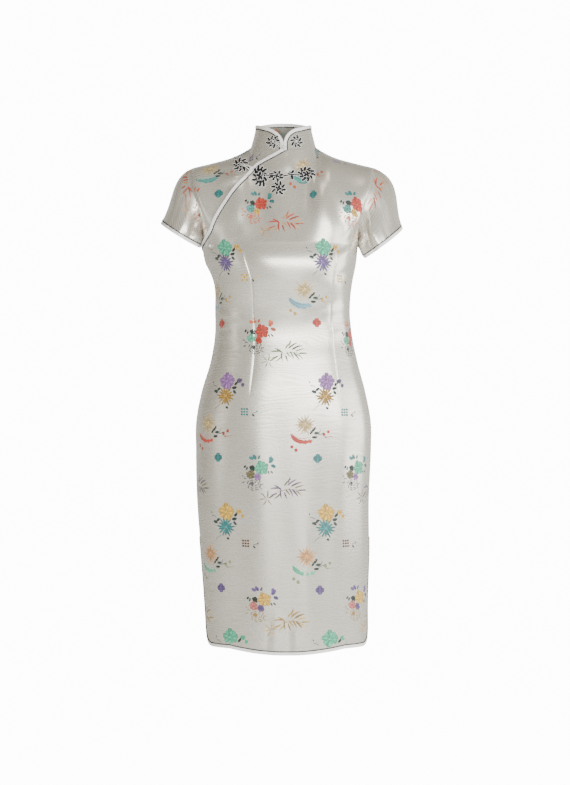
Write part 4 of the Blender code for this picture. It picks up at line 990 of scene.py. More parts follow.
def collar_panel():
    """Points of the collar: the neckline raised by a height that falls along a quarter round at each front end."""
    right_end = NECK_CENTRE - COLLAR_GAP - EDGE_WIDTH
    left_end = NECK_CENTRE + COLLAR_GAP + EDGE_WIDTH
    under = neck_part(underlap, -1, right_end, -1)
    behind = neck_part(back, 1, None, 0)
    before = neck_part(front, -1, left_end, 1)
    base = np.concatenate([under[::-1], behind[1:-1], before[::-1]])
    away = base - np.array([NECK_CENTRE, 0.0, 0.0])
    away[:, 2] = 0.0
    away = unit(away / np.array([NECK_HALF, NECK_FRONT, 1.0]) ** 2)
    steps = np.linalg.norm(np.diff(base, axis=0), axis=1)
    along = np.concatenate([[0.0], np.cumsum(steps)])
    from_end = along + COLLAR_GAP + EDGE_WIDTH
    distance = np.minimum(from_end, from_end[::-1])
    corner = 1.0 - np.clip((distance - EDGE_WIDTH) / (COLLAR_CORNER - EDGE_WIDTH), 0.0, 1.0)
    low_end = COLLAR_FRONT_EDGE - EDGE_WIDTH * 0.5
    height = low_end + (COLLAR_HEIGHT - EDGE_WIDTH - low_end) * np.sqrt(1.0 - corner**2)
    lean = COLLAR_LEAN * np.abs(away[:, 0]) + COLLAR_LEAN_FRONT * np.abs(away[:, 1])
    up = height * np.linspace(0, 1, COLLAR_ROWS)[:, None]
    inwards = lean * up / COLLAR_HEIGHT * (1.25 - 0.25 * up / COLLAR_HEIGHT)
    points = base - away * inwards[..., None]
    points[..., 2] += up + COLLAR_GAP / 2
    normals = np.tile(away, (COLLAR_ROWS, 1, 1))
    wide = np.broadcast_to(along - along[-1] / 2, up.shape)
    return {
        "points": points, "normals": normals, "inwards": -normals, "closed": False, "away": away,
        "wide": wide, "high": up + 0.05,
    }


collar = collar_panel()
sew_cloth("stand_collar", collar, "collar")

# Bindings and piping: a cross-cut white satin strip folded over every free edge, with a black
# piping cord caught between it and the cloth.
BINDING_ROUND = 0.0010
BINDING_BACK = -0.0011
BINDING_SIDES = 14
PIPING_SIDES = 10
WHITE_SATIN = (0.93, 0.925, 0.90)
WHITE_SHADE = (0.74, 0.735, 0.71)
BLACK_CORD = (0.006, 0.006, 0.007)
BLACK_LIGHT = (0.022, 0.022, 0.025)


def trim_material(name, light, shade, roughness, scale, **sockets):
    """Trim: two near shades mixed by fine threads on Object coordinates, with the threads raised."""
    material, tree, shader = new_material(name, roughness, **sockets)
    vector = tree.nodes.new("ShaderNodeTexCoord").outputs["Object"]
    threads = texture_node(
        tree, "ShaderNodeTexWave", vector, (1.0, 1.0, 1.4), bands_direction="DIAGONAL",
        Scale=scale, Distortion=3.0, Detail=2.0,
    )
    wear = texture_node(tree, "ShaderNodeTexNoise", vector, (1.0, 1.0, 1.0), Scale=55.0, Detail=3.0)
    amount = math_node(tree, "MULTIPLY", threads, wear)
    tree.links.new(mix_node(tree, amount, light, shade), shader.inputs["Base Color"])
    rough = math_node(tree, "ADD", math_node(tree, "MULTIPLY", wear, 0.2), roughness - 0.1)
    tree.links.new(rough, shader.inputs["Roughness"])
    tree.links.new(bump_node(tree, threads, 0.25, 0.0002), shader.inputs["Normal"])
    return material


white_satin = trim_material("binding_satin", WHITE_SATIN, WHITE_SHADE, 0.36, 210.0, Sheen_Weight=0.2)
black_cord = trim_material("piping_cord", BLACK_CORD, BLACK_LIGHT, 0.60, 260.0, Specular_IOR_Level=0.25)


def edge_outs(line, normals, towards, closed=False):
    """Directions that leave an edge line squarely in the cloth, longer at a bend so the trim keeps its width."""
    if closed:
        ahead = np.roll(line, -1, axis=0) - line
        behind = line - np.roll(line, 1, axis=0)
    else:
        ahead = np.diff(line, axis=0, append=line[-1:] * 2 - line[-2:-1])
        behind = np.diff(line, axis=0, prepend=line[:1] * 2 - line[1:2])
    first = unit(np.cross(unit(ahead), normals))
    second = unit(np.cross(unit(behind), normals))
    out = unit(first + second)
    out = out / np.clip(np.sum(out * first, axis=-1, keepdims=True), 0.7, 1.0)
    return out * np.where(np.sum(out * towards, axis=-1, keepdims=True) < 0, -1.0, 1.0)


def sweep(name, line, outs, ups, section, closed=False):
    """A strip or cord: a closed section of (out, up) sizes carried along a line, its open ends capped."""
    count, sides = len(line), len(section)
    points = line[:, None] + outs[:, None] * section[None, :, :1] + ups[:, None] * section[None, :, 1:]
    index = np.arange(count * sides).reshape(count, sides)
    index = np.concatenate([index, index[:, :1]], axis=1)
    if closed:
        index = np.concatenate([index, index[:1]])
    faces = np.stack([index[:-1, :-1], index[:-1, 1:], index[1:, 1:], index[1:, :-1]], axis=-1).reshape(-1, 4)
    points = points.reshape(-1, 3)
    ends = []
    if not closed:
        middles = np.stack([points[:sides].mean(axis=0), points[-sides:].mean(axis=0)])
        points = np.concatenate([points, middles])
        ring = index[0]
        ends.append(np.stack([ring[1:], ring[:-1], np.full(sides, len(points) - 2)], axis=1))
        ring = index[-1]
        ends.append(np.stack([ring[:-1], ring[1:], np.full(sides, len(points) - 1)], axis=1))
    corners = points[faces]
    volume = np.sum(corners[:, 0] * np.cross(corners[:, 1], corners[:, 2])) + np.sum(
        corners[:, 0] * np.cross(corners[:, 2], corners[:, 3])
    )
    every = list(faces) + [cap for end in ends for cap in end]
    if volume < 0:
        every = [face[::-1] for face in every]
    return fill_mesh(name, points, every)


def round_section(radius, sides):
    """A circle of (out, up) sizes."""
    angle = np.arange(sides) * 2 * math.pi / sides
    return np.stack([np.cos(angle), np.sin(angle)], axis=1) * radius


def binding_section():
    """A folded strip in section: a flattened ring, padded where it turns over the edge."""
    angle = np.arange(BINDING_SIDES) * 2 * math.pi / BINDING_SIDES
    start = PIPING_GAP + 2 * PIPING_RADIUS - 0.0001
    middle, half = (start + EDGE_WIDTH) / 2, (EDGE_WIDTH - start) / 2
    out = middle + np.sign(np.cos(angle)) * np.abs(np.cos(angle)) ** 0.45 * half
    up = np.sin(angle) * BINDING_ROUND * 0.8 - 0.0004
    return np.stack([out, up], axis=1)


def smooth_line(line, outs, ups, closed, spacing=0.0022):
    """The same edge resampled evenly by length, so that the trim has no bunched sections."""
    if closed:
        line, outs, ups = (np.concatenate([item, item[:1]]) for item in (line, outs, ups))
    along = np.concatenate([[0.0], np.cumsum(np.linalg.norm(np.diff(line, axis=0), axis=1))])
    count = max(int(along[-1] / spacing), 8)
    places = np.linspace(0, along[-1], count + 1)
    if closed:
        places = places[:-1]
    result = []
    for item in (line, outs, ups):
        result.append(np.stack([np.interp(places, along, item[:, axis]) for axis in range(3)], axis=1))
    return result


trims = {}


def trim_edge(label, line, ups, outs, closed=False):
    """Sews piping and then binding along a cloth edge, each in place of its plain solid."""
    line, outs, ups = smooth_line(line, outs, ups, closed)
    cord_line = line + outs * (PIPING_RADIUS + PIPING_GAP) - ups * PIPING_SINK
    mesh = sweep("piping", cord_line, unit(outs), ups, round_section(PIPING_RADIUS, PIPING_SIDES), closed)
    piping = add_piece("piping_cord_" + label, mesh, [black_cord])
    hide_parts("piping_" + label)
    mesh = sweep("binding", line, outs, ups, binding_section(), closed)
    binding = add_piece("binding_strip_" + label, mesh, [white_satin])
    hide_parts("binding_" + label)
    trims[label] = {"line": line, "outs": outs, "ups": ups, "closed": closed, "pieces": [piping, binding]}


def hem_line(panel):
    """The cloth edge down one slit, round the hem and up the other slit, with its normals."""
    points, normals, levels = panel["points"], panel["normals"], panel["levels"]
    top = int(np.argmax(ARMPIT + levels[:, 0] >= SLIT_TOP - SLIT_NOTCH)) - 1
    line = np.concatenate([points[top:0:-1, 0], points[0], points[1 : top + 1, -1]])
    ups = np.concatenate([normals[top:0:-1, 0], normals[0], normals[1 : top + 1, -1]])
    towards = np.tile(np.array([0.0, 0.0, -1.0]), (len(line), 1))
    face = np.sign(points[0, 0, 1])
    towards[: top + 1] = [0.0, -face, -0.3]
    towards[-top - 1 :] = [0.0, -face, -0.3]
    return line, ups, edge_outs(line, ups, towards)


for label, panel in (("hem_front", front), ("hem_back", back)):
    trim_edge(label, *hem_line(panel))

lap = front["lap_row"]
line, ups = front["points"][lap:, 0], front["normals"][lap:, 0]
outs = edge_outs(line, ups, np.tile(np.array([-0.4, 0.0, 1.0]), (len(line), 1))) + ups * LAP_TILT
outs[-1] = np.array([-1.0, 0.0, 0.0]) / 0.72 + ups[-1] * LAP_TILT
trim_edge("overlap", line, ups, outs)

for label, sleeve in sleeves.items():
    line, ups = sleeve["points"][-1], sleeve["normals"][-1]
    outs = edge_outs(line, ups, np.tile(sleeve["arm"], (len(line), 1)), closed=True)
    trim_edge("sleeve_" + label, line, ups, outs, closed=True)

rim, away = collar["points"], collar["away"]
line = np.concatenate([rim[:-1, 0], rim[-1], rim[-2::-1, -1]])
ends = len(rim) - 1
ups = np.concatenate([away[:1].repeat(ends, axis=0), away, away[-1:].repeat(ends, axis=0)])
towards = np.tile(np.array([0.0, 0.0, 1.0]), (len(line), 1))
towards[:ends] = [1.0, 0.0, 0.2]
towards[-ends:] = [-1.0, 0.0, 0.2]
trim_edge("collar", line, ups, edge_outs(line, ups, towards))

# Brocade figures: coloured silk wefts that float on the satin as flowers, leaves and small
# ornaments, in a repeat that steps down the cloth in bands of changing colour.
REPEAT = 0.196
PEONY_WIDE = 0.084
BACK_WIDE = 0.030
FLOAT_LIFT = 0.00016
FLOAT_EDGE = -0.00004
FLOAT_LAYER = 0.00006
BLADE_STEPS = 7
BLADE_SIDES = 3
MM = 0.001

PALETTE = {
    "mint": (84, 190, 150), "purple": (98, 76, 132), "yellow": (226, 180, 72), "cream": (222, 194, 134),
    "blue": (124, 172, 188), "red": (194, 58, 38), "orange": (212, 100, 54), "green": (88, 116, 72),
    "forest": (30, 48, 42), "lilac": (156, 110, 174), "gold": (164, 126, 48), "teal": (44, 122, 122),
    "olive": (112, 106, 66), "grey": (78, 74, 82), "slate": (98, 80, 114), "peach": (226, 166, 102),
    "pink": (210, 118, 110), "pale": (158, 168, 116), "brown": (96, 52, 32), "sea": (74, 156, 148),
}
COLOURWAYS = [
    {"at": 0.075, "peony": "mint", "daisy": "teal", "leaf": "forest", "blossom": "red", "lattice": "purple",
     "spider": "cream", "crescent": "sea", "berry": "orange", "lozenge": "teal", "cluster": "red",
     "spray": "teal", "round": "sea", "outline": "orange", "bud": "yellow", "bamboo": "red", "reed": "peach"},
    {"at": -0.180, "peony": "mint", "daisy": "purple", "leaf": "forest", "blossom": "yellow", "lattice": "yellow",
     "spider": "cream", "crescent": "blue", "berry": "yellow", "lozenge": "red", "cluster": "red",
     "spray": "orange", "round": "mint", "outline": "forest", "bud": "red", "bamboo": "green", "reed": "pale"},
    {"at": -0.441, "peony": "lilac", "daisy": "gold", "leaf": "forest", "blossom": "slate", "lattice": "teal",
     "spider": "cream", "crescent": "red", "berry": "red", "lozenge": "teal", "cluster": "mint",
     "spray": "teal", "round": "olive", "outline": "grey", "bud": "lilac", "bamboo": "slate", "reed": "olive"},
    {"at": -0.692, "peony": "yellow", "daisy": "teal", "leaf": "forest", "blossom": "yellow", "lattice": "brown",
     "spider": "peach", "crescent": "mint", "berry": "pale", "lozenge": "purple", "cluster": "yellow",
     "spray": "purple", "round": "pink", "outline": "gold", "bud": "purple", "bamboo": "gold", "reed": "yellow"},
    {"at": -0.933, "peony": "mint", "daisy": "sea", "leaf": "forest", "blossom": "mint", "lattice": "teal",
     "spider": "cream", "crescent": "teal", "berry": "mint", "lozenge": "teal", "cluster": "mint",
     "spray": "teal", "round": "mint", "outline": "forest", "bud": "teal", "bamboo": "sea", "reed": "pale"},
]

# A row of petals in a bloom: how many, where they start and how long and wide they are as shares
# of its radius, how their width swells from root and tip, and how light they are.
PETAL_ROWS = {
    "peony": [(9, 0.30, 0.70, 0.27, 0.5, 0.22, 0.88), (8, 0.16, 0.58, 0.20, 0.5, 0.25, 1.12), (6, 0.02, 0.44, 0.14, 0.5, 0.3, 0.72), (3, 0.0, 0.22, 0.10, 0.5, 0.4, 1.5)],
    "daisy": [(15, 0.18, 0.82, 0.092, 0.6, 0.45, 0.90), (11, 0.10, 0.58, 0.088, 0.6, 0.45, 1.35), (1, -0.17, 0.34, 0.17, 0.5, 0.5, 1.9)],
    "spider": [(16, 0.16, 0.84, 0.070, 0.5, 0.6, 1.0), (12, 0.08, 0.58, 0.080, 0.6, 0.5, 0.74), (5, 0.0, 0.26, 0.12, 0.5, 0.4, 1.12)],
    "rose": [(7, 0.28, 0.70, 0.31, 0.5, 0.25, 0.84), (5, 0.12, 0.54, 0.25, 0.5, 0.3, 1.2), (3, 0.0, 0.34, 0.16, 0.5, 0.5, 0.68)],
    "blossom": [(5, 0.10, 0.88, 0.46, 0.5, 0.25, 1.0), (1, -0.20, 0.40, 0.20, 0.5, 0.5, 0.6)],
    "berry": [(1, -1.0, 2.0, 1.0, 0.5, 0.5, 1.0)],
    "lozenge": [(4, 0.06, 0.94, 0.52, 0.30, 0.30, 1.0), (1, -0.24, 0.48, 0.24, 0.5, 0.5, 1.5)],
}

# Blooms of one repeat, in millimetres from the heart of its peony, up and to the left of the wearer.
BLOOMS = np.array(
    [
        ("peony", "peony", 0.0, 0.0, 16.5, 0.2),
        ("daisy", "daisy", -3.0, -29.0, 18.5, 0.1),
        ("blossom", "blossom", 26.0, 1.0, 5.5, 0.4),
        ("blossom", "blossom", 33.0, -7.0, 4.0, 0.9),
        ("spider", "spider", -43.0, -83.0, 20.0, 0.0),
        ("berry", "berry", -6.0, -101.0, 3.2, 0.0),
        ("berry", "berry", 3.0, -96.0, 3.0, 0.0),
        ("berry", "berry", -68.0, -125.0, 3.2, 0.0),
        ("berry", "berry", -60.0, -131.0, 3.4, 0.0),
        ("lozenge", "lozenge", -18.0, -147.0, 9.0, 0.0),
        ("rose", "round", 50.0, -178.0, 9.0, 0.2),
        ("blossom", "bud", 64.0, -182.0, 7.0, 0.7),
        ("blossom", "leaf", 53.0, -166.0, 6.0, 0.2),
        ("peony", "cluster", 71.0, -165.0, 13.5, 0.5),
        ("daisy", "outline", 53.0, -195.0, 5.0, 0.3),
    ],
    dtype=[("kind", "U12"), ("role", "U12"), ("x", float), ("y", float), ("radius", float), ("turn", float)],
)

# Single leaves, stems and bars of one repeat: place, length and half width in millimetres, the
# way they point and how far they bend in degrees, and how their width swells.
LEAVES = np.array(
    [
        ("leaf", -14.0, -13.0, 11.0, 3.4, 200.0, 30.0, 0.6, 0.7, 1.0),
        ("leaf", -20.0, -22.0, 11.0, 3.6, 165.0, -30.0, 0.6, 0.7, 1.6),
        ("leaf", -22.0, -18.0, 9.0, 3.0, 205.0, -30.0, 0.6, 0.7, 0.8),
        ("leaf", -22.0, -12.0, 14.0, 0.7, 140.0, 40.0, 0.2, 0.2, 1.2),
        ("leaf", -33.0, -4.0, 5.0, 1.3, 110.0, 20.0, 0.6, 0.7, 1.4),
        ("leaf", 10.0, -13.0, 12.0, 3.8, -10.0, 40.0, 0.6, 0.7, 1.0),
        ("leaf", 14.0, -17.0, 10.0, 3.4, -65.0, 30.0, 0.6, 0.7, 1.6),
        ("leaf", 15.0, -8.0, 11.0, 3.2, 30.0, 30.0, 0.6, 0.7, 0.8),
        ("leaf", 14.0, -6.0, 16.0, 0.7, 10.0, 25.0, 0.2, 0.2, 1.0),
        ("leaf", 22.0, -4.0, 7.0, 2.0, 80.0, 25.0, 0.6, 0.7, 1.2),
        ("daisy", -12.0, -44.0, 20.0, 0.7, 205.0, 25.0, 0.2, 0.2, 0.5),
        ("leaf", -2.0, -49.0, 7.0, 3.0, -40.0, 20.0, 0.6, 0.7, 1.5),
        ("lattice", 52.0, -60.0, 8.0, 0.7, -25.0, 50.0, 0.2, 0.2, 1.0),
        ("leaf", 52.0, -62.0, 8.0, 2.0, -60.0, 20.0, 0.6, 0.7, 1.0),
        ("lattice", 59.0, -60.0, 6.0, 1.6, 35.0, 20.0, 0.6, 0.7, 1.2),
        ("crescent", -72.0, -98.0, 56.0, 6.0, -66.0, 104.0, 0.40, 0.25, 1.0),
        ("crescent", -70.0, -97.0, 44.0, 0.8, -58.0, 96.0, 0.2, 0.2, 2.2),
        ("crescent", -70.5, -103.0, 50.0, 0.8, -60.0, 96.0, 0.2, 0.2, 0.45),
        ("crescent", -70.0, -108.0, 44.0, 0.6, -50.0, 84.0, 0.2, 0.2, 1.9),
        ("leaf", -29.0, -97.0, 13.0, 3.4, 66.0, -30.0, 0.6, 0.7, 1.0),
        ("leaf", -26.0, -100.0, 12.0, 3.4, 24.0, -40.0, 0.6, 0.7, 1.8),
        ("leaf", -30.0, -106.0, 12.0, 3.2, -14.0, 30.0, 0.6, 0.7, 0.9),
        ("leaf", -34.0, -101.0, 10.0, 2.8, 40.0, 30.0, 0.6, 0.7, 1.4),
        ("leaf", -22.0, -103.0, 20.0, 0.8, 8.0, 20.0, 0.2, 0.2, 1.1),
        ("leaf", -16.0, -100.0, 10.0, 0.7, 55.0, 20.0, 0.2, 0.2, 1.1),
        ("berry", -8.0, -105.0, 22.0, 0.7, -12.0, 30.0, 0.2, 0.2, 0.9),
        ("berry", -5.0, -105.0, 6.0, 1.6, -30.0, 30.0, 0.6, 0.7, 0.8),
        ("spray", 84.0, -156.0, 14.0, 4.6, 38.0, 30.0, 0.5, 0.5, 1.0),
        ("spray", 88.0, -160.0, 11.0, 4.0, -10.0, -25.0, 0.5, 0.5, 0.75),
        ("spray", 86.0, -152.0, 10.0, 3.6, 70.0, 20.0, 0.5, 0.5, 1.25),
        ("spray", 60.0, -150.0, 12.0, 4.0, 110.0, 25.0, 0.5, 0.5, 0.9),
        ("spray", 56.0, -149.0, 11.0, 3.8, 165.0, -25.0, 0.5, 0.5, 1.2),
        ("spray", 64.0, -149.0, 9.0, 3.0, 60.0, 15.0, 0.5, 0.5, 0.8),
        ("leaf", 83.0, -170.0, 8.0, 1.8, -75.0, 20.0, 0.6, 0.7, 1.0),
        ("leaf", 88.0, -170.0, 8.0, 1.8, -60.0, 20.0, 0.6, 0.7, 1.4),
        ("leaf", 36.0, -166.0, 7.0, 2.6, 40.0, 20.0, 0.6, 0.7, 1.0),
        ("leaf", 41.0, -170.0, 8.0, 2.2, 60.0, 20.0, 0.6, 0.7, 1.5),
        ("outline", 42.0, -187.0, 7.0, 1.3, 150.0, 20.0, 0.6, 0.7, 1.1),
        ("outline", 39.0, -192.0, 7.0, 1.3, 190.0, 20.0, 0.6, 0.7, 1.1),
        ("outline", 36.0, -183.0, 5.0, 1.2, 120.0, 20.0, 0.6, 0.7, 1.1),
        ("outline", 68.0, -196.0, 8.0, 1.0, -15.0, 20.0, 0.6, 0.7, 1.1),
        ("outline", 67.0, -201.0, 8.0, 1.0, -45.0, 20.0, 0.6, 0.7, 1.1),
    ],
    dtype=[
        ("role", "U12"), ("x", float), ("y", float), ("length", float), ("half_width", float), ("points", float),
        ("bend", float), ("root", float), ("tip", float), ("light", float),
    ],
)
LATTICE = {"x": 37.0, "y": -59.0, "pitch": 5.2, "size": 4.7}
OUTLINE_ROSE = {"x": 57.0, "y": -196.0, "radius": 11.5}
BAMBOO = {"x": -78.0, "y": -206.0}
BAMBOO_BLADES = np.array(
    [
        (-4.0, 6.0, 22.0, 1.7, 62.0, -34.0), (2.0, 7.0, 24.0, 1.9, 48.0, -30.0), (9.0, 5.0, 24.0, 1.8, 40.0, -34.0),
        (15.0, 2.0, 22.0, 1.7, 30.0, -30.0), (21.0, -2.0, 19.0, 1.5, 12.0, -24.0), (-8.0, -2.0, 20.0, 1.7, 130.0, 34.0),
        (-1.0, 2.0, 17.0, 1.6, -64.0, 24.0), (5.0, 3.0, 19.0, 1.7, -52.0, -24.0), (11.0, 1.0, 20.0, 1.8, -40.0, -22.0),
        (17.0, -1.0, 18.0, 1.6, -30.0, -20.0), (-10.0, 0.0, 18.0, 1.7, -100.0, 30.0), (-13.0, 2.0, 19.0, 1.6, 168.0, 30.0),
        (-9.0, -6.0, 20.0, 1.6, -128.0, -26.0), (-16.0, -6.0, 16.0, 1.4, -150.0, -22.0), (-3.0, -4.0, 16.0, 1.4, -80.0, 22.0),
        (24.0, 0.0, 15.0, 1.3, -8.0, 20.0), (4.0, 12.0, 15.0, 1.3, 84.0, -30.0), (-36.0, -16.0, 17.0, 1.3, 70.0, 34.0),
        (-38.0, -17.0, 16.0, 1.3, 120.0, 30.0), (-38.0, -18.0, 15.0, 1.2, 176.0, 30.0), (-37.0, -19.0, 14.0, 1.2, -110.0, -24.0),
        (-35.0, -19.0, 14.0, 1.2, -62.0, 24.0), (-34.0, -17.0, 15.0, 1.1, 20.0, 24.0),
    ],
    dtype=[("x", float), ("y", float), ("length", float), ("half", float), ("points", float), ("bend", float)],
)


def to_linear(colour):
    """A colour as read on a screen, 0 to 255, in the light values that a material takes."""
    value = np.asarray(colour, dtype=float) / 255
    return np.where(value <= 0.04045, value / 12.92, ((value + 0.055) / 1.055) ** 2.4)


def blade_list():
    """All blades of one repeat: role, then place, length, half width, way, bend, swell, light and layer."""
    blades = []
    for leaf in LEAVES:
        blades.append([leaf["role"]] + [float(leaf[name]) for name in leaf.dtype.names[1:]] + [0.0])
    for number, bloom in enumerate(BLOOMS):
        for row, (count, start, length, half, root, tip, light) in enumerate(PETAL_ROWS[bloom["kind"]]):
            for petal in range(count):
                way = math.degrees(bloom["turn"]) + 360.0 * (petal + 0.5 * (row % 2)) / count
                vary = 1.0 + 0.13 * math.sin(3.7 * petal + 2.1 * row + number) * (count > 4)
                radius = bloom["radius"]
                x = bloom["x"] + math.cos(math.radians(way)) * start * radius
                y = bloom["y"] + math.sin(math.radians(way)) * start * radius
                bend = 14.0 * math.sin(2.3 * petal + number) * (count > 6)
                tone = light * (1.0 + 0.10 * math.sin(5.1 * petal + row))
                blades.append(
                    [bloom["role"], x, y, length * radius * vary, half * radius, way - bend / 2, bend, root, tip, tone * (0.86 + 0.28 * (petal % 2))]
                    + [1.0 + row + 0.4 * (petal % 2)]
                )
    for row in range(3):
        for column in range(3):
            x = LATTICE["x"] + (column - 1) * LATTICE["pitch"] - LATTICE["size"] / 2
            y = LATTICE["y"] + (row - 1) * LATTICE["pitch"]
            blades.append(["lattice", x, y, LATTICE["size"], LATTICE["size"] / 2, 0.0, 0.0, 0.15, 0.15, 0.8 + 0.5 * ((row + column) % 2), 0.0])
    for count, reach, long, half in ((8, 0.94, 0.78, 0.10), (6, 0.62, 0.66, 0.10), (4, 0.30, 0.44, 0.10)):
        for arc in range(count):
            angle = 2 * math.pi * arc / count + reach
            x = OUTLINE_ROSE["x"] + math.cos(angle) * reach * OUTLINE_ROSE["radius"]
            y = OUTLINE_ROSE["y"] + math.sin(angle) * reach * OUTLINE_ROSE["radius"]
            way = math.degrees(angle) + 60.0
            blades.append(
                ["outline", x, y, long * OUTLINE_ROSE["radius"], half * OUTLINE_ROSE["radius"], way, 75.0, 0.4, 0.4, 1.0]
                + [0.0]
            )
    for number, leaf in enumerate(BAMBOO_BLADES):
        x, y = BAMBOO["x"] + leaf["x"], BAMBOO["y"] + leaf["y"]
        role = "bamboo" if number % 3 and number < 17 else "reed"
        sizes = [float(leaf[name]) for name in ("length", "half", "points", "bend")]
        blades.append([role, x, y] + sizes + [0.45, 0.8, 0.8 + 0.4 * (number % 2), 0.3 * (number % 3)])
    for x, y, length, way, bend in ((-18.0, -5.0, 46.0, 18.0, -24.0), (-40.0, -19.0, 26.0, 34.0, -20.0)):
        blades.append(["reed", BAMBOO["x"] + x, BAMBOO["y"] + y, length, 0.6, way, bend, 0.2, 0.2, 0.7, 0.0])
    return blades


BLADES = blade_list()
BLADE_ROLES = [blade[0] for blade in BLADES]
BLADE_SIZES = np.array([blade[1:] for blade in BLADES], dtype=float)


def blade_grid():
    """Every blade as a small grid in the plane of the cloth.

    Its middle line is a circular arc of the blade's length and bend; its half width is a power of the
    way from the root times a power of the way from the tip; the middle is raised and the edge sunk.
    Its colour factor grows lighter from root to tip and is darkened towards the sunk edges as painted shade.
    """
    x, y, length, half, points, bend, root, tip, _, layer = (BLADE_SIZES[:, [index]] for index in range(10))
    run = np.linspace(0.0, 1.0, BLADE_STEPS)[None, :]
    start, turn = np.radians(points), np.radians(bend) + 1e-5
    middle_x = x + length * (np.sin(start + turn * run) - np.sin(start)) / turn
    middle_y = y - length * (np.cos(start + turn * run) - np.cos(start)) / turn
    angle = start + turn * run
    peak = (root / (root + tip)) ** root * (tip / (root + tip)) ** tip
    width = half * np.clip(run, 0.004, 1) ** root * np.clip(1 - run, 0.004, 1) ** tip / peak
    side = np.linspace(-1.0, 1.0, BLADE_SIDES)[None, None, :]
    grid_x = middle_x[..., None] - np.sin(angle)[..., None] * width[..., None] * side
    grid_y = middle_y[..., None] + np.cos(angle)[..., None] * width[..., None] * side
    ends = np.minimum(run, 1 - run)[..., None] > 0
    lift = np.where((np.abs(side) < 1) & ends, FLOAT_LIFT, FLOAT_EDGE) + layer[..., None] * FLOAT_LAYER
    # colour factor: lighter from root to tip, and darker towards both edges as painted shade that gives each petal and
    # leaf relief
    shade = (0.74 + 0.42 * run[..., None]) * (1.0 - 0.55 * side**2)
    return grid_x * MM, grid_y * MM, np.broadcast_to(lift, grid_x.shape), np.broadcast_to(shade, grid_x.shape)


BLADE_X, BLADE_Y, BLADE_LIFT, BLADE_TONE_AND_PAINTED_SHADE = blade_grid()


def find_on(first, second, want_first, want_second, steps=9):
    """Fractional grid places where two smooth grids take wanted values, by Newton's steps on their slopes."""
    rows, columns = first.shape
    row = np.full(want_first.shape, rows / 2.0)
    column = np.full(want_first.shape, columns / 2.0)
    for _ in range(steps):
        low = np.clip(np.floor(row).astype(int), 0, rows - 2)
        left = np.clip(np.floor(column).astype(int), 0, columns - 2)
        over, up = column - left, row - low
        slopes = []
        for grid in (first, second):
            a, b, c, d = grid[low, left], grid[low, left + 1], grid[low + 1, left], grid[low + 1, left + 1]
            value = (a * (1 - over) + b * over) * (1 - up) + (c * (1 - over) + d * over) * up
            slopes.append((value, (b - a) * (1 - up) + (d - c) * up, (c - a) * (1 - over) + (d - b) * over))
        miss_first, miss_second = want_first - slopes[0][0], want_second - slopes[1][0]
        whole = slopes[0][1] * slopes[1][2] - slopes[0][2] * slopes[1][1]
        whole = np.where(np.abs(whole) < 1e-12, 1e-12, whole)
        step_column = (miss_first * slopes[1][2] - slopes[0][2] * miss_second) / whole
        step_row = (slopes[0][1] * miss_second - miss_first * slopes[1][1]) / whole
        column = np.clip(column + np.clip(step_column, -columns / 3, columns / 3), -3, columns + 2)
        row = np.clip(row + np.clip(step_row, -rows / 3, rows / 3), -3, rows + 2)
    miss = np.hypot(miss_first, miss_second)
    inside = (row >= 0) & (row <= rows - 1) & (column >= 0) & (column <= columns - 1) & (miss < 0.002)
    return row, column, inside


def brocade_material():
    """Floats of dyed silk: the blade's own colour, varied thread by thread, with the threads raised."""
    material, tree, shader = new_material("brocade_silk", 0.42, Sheen_Weight=0.3, Specular_IOR_Level=0.45)
    colour = tree.nodes.new("ShaderNodeVertexColor")
    colour.layer_name = "silk"
    vector = tree.nodes.new("ShaderNodeTexCoord").outputs["Object"]
    threads = texture_node(
        tree, "ShaderNodeTexWave", vector, (1.0, 1.0, 1.0), bands_direction="Z", Scale=330.0, Distortion=2.0, Detail=1.0
    )
    speck = texture_node(tree, "ShaderNodeTexNoise", vector, (1.0, 1.0, 2.2), Scale=420.0, Detail=2.0)
    dark = tree.nodes.new("ShaderNodeHueSaturation")
    dark.inputs["Value"].default_value = 0.62
    tree.links.new(colour.outputs["Color"], dark.inputs["Color"])
    amount = math_node(tree, "MULTIPLY", math_node(tree, "MULTIPLY", threads, speck), 0.9)
    tree.links.new(mix_node(tree, amount, colour.outputs["Color"], dark.outputs["Color"]), shader.inputs["Base Color"])
    rough = math_node(tree, "ADD", math_node(tree, "MULTIPLY", speck, 0.2), 0.34)
    tree.links.new(rough, shader.inputs["Roughness"])
    tree.links.new(bump_node(tree, threads, 0.35, 0.0002), shader.inputs["Normal"])
    return material


brocade = brocade_material()


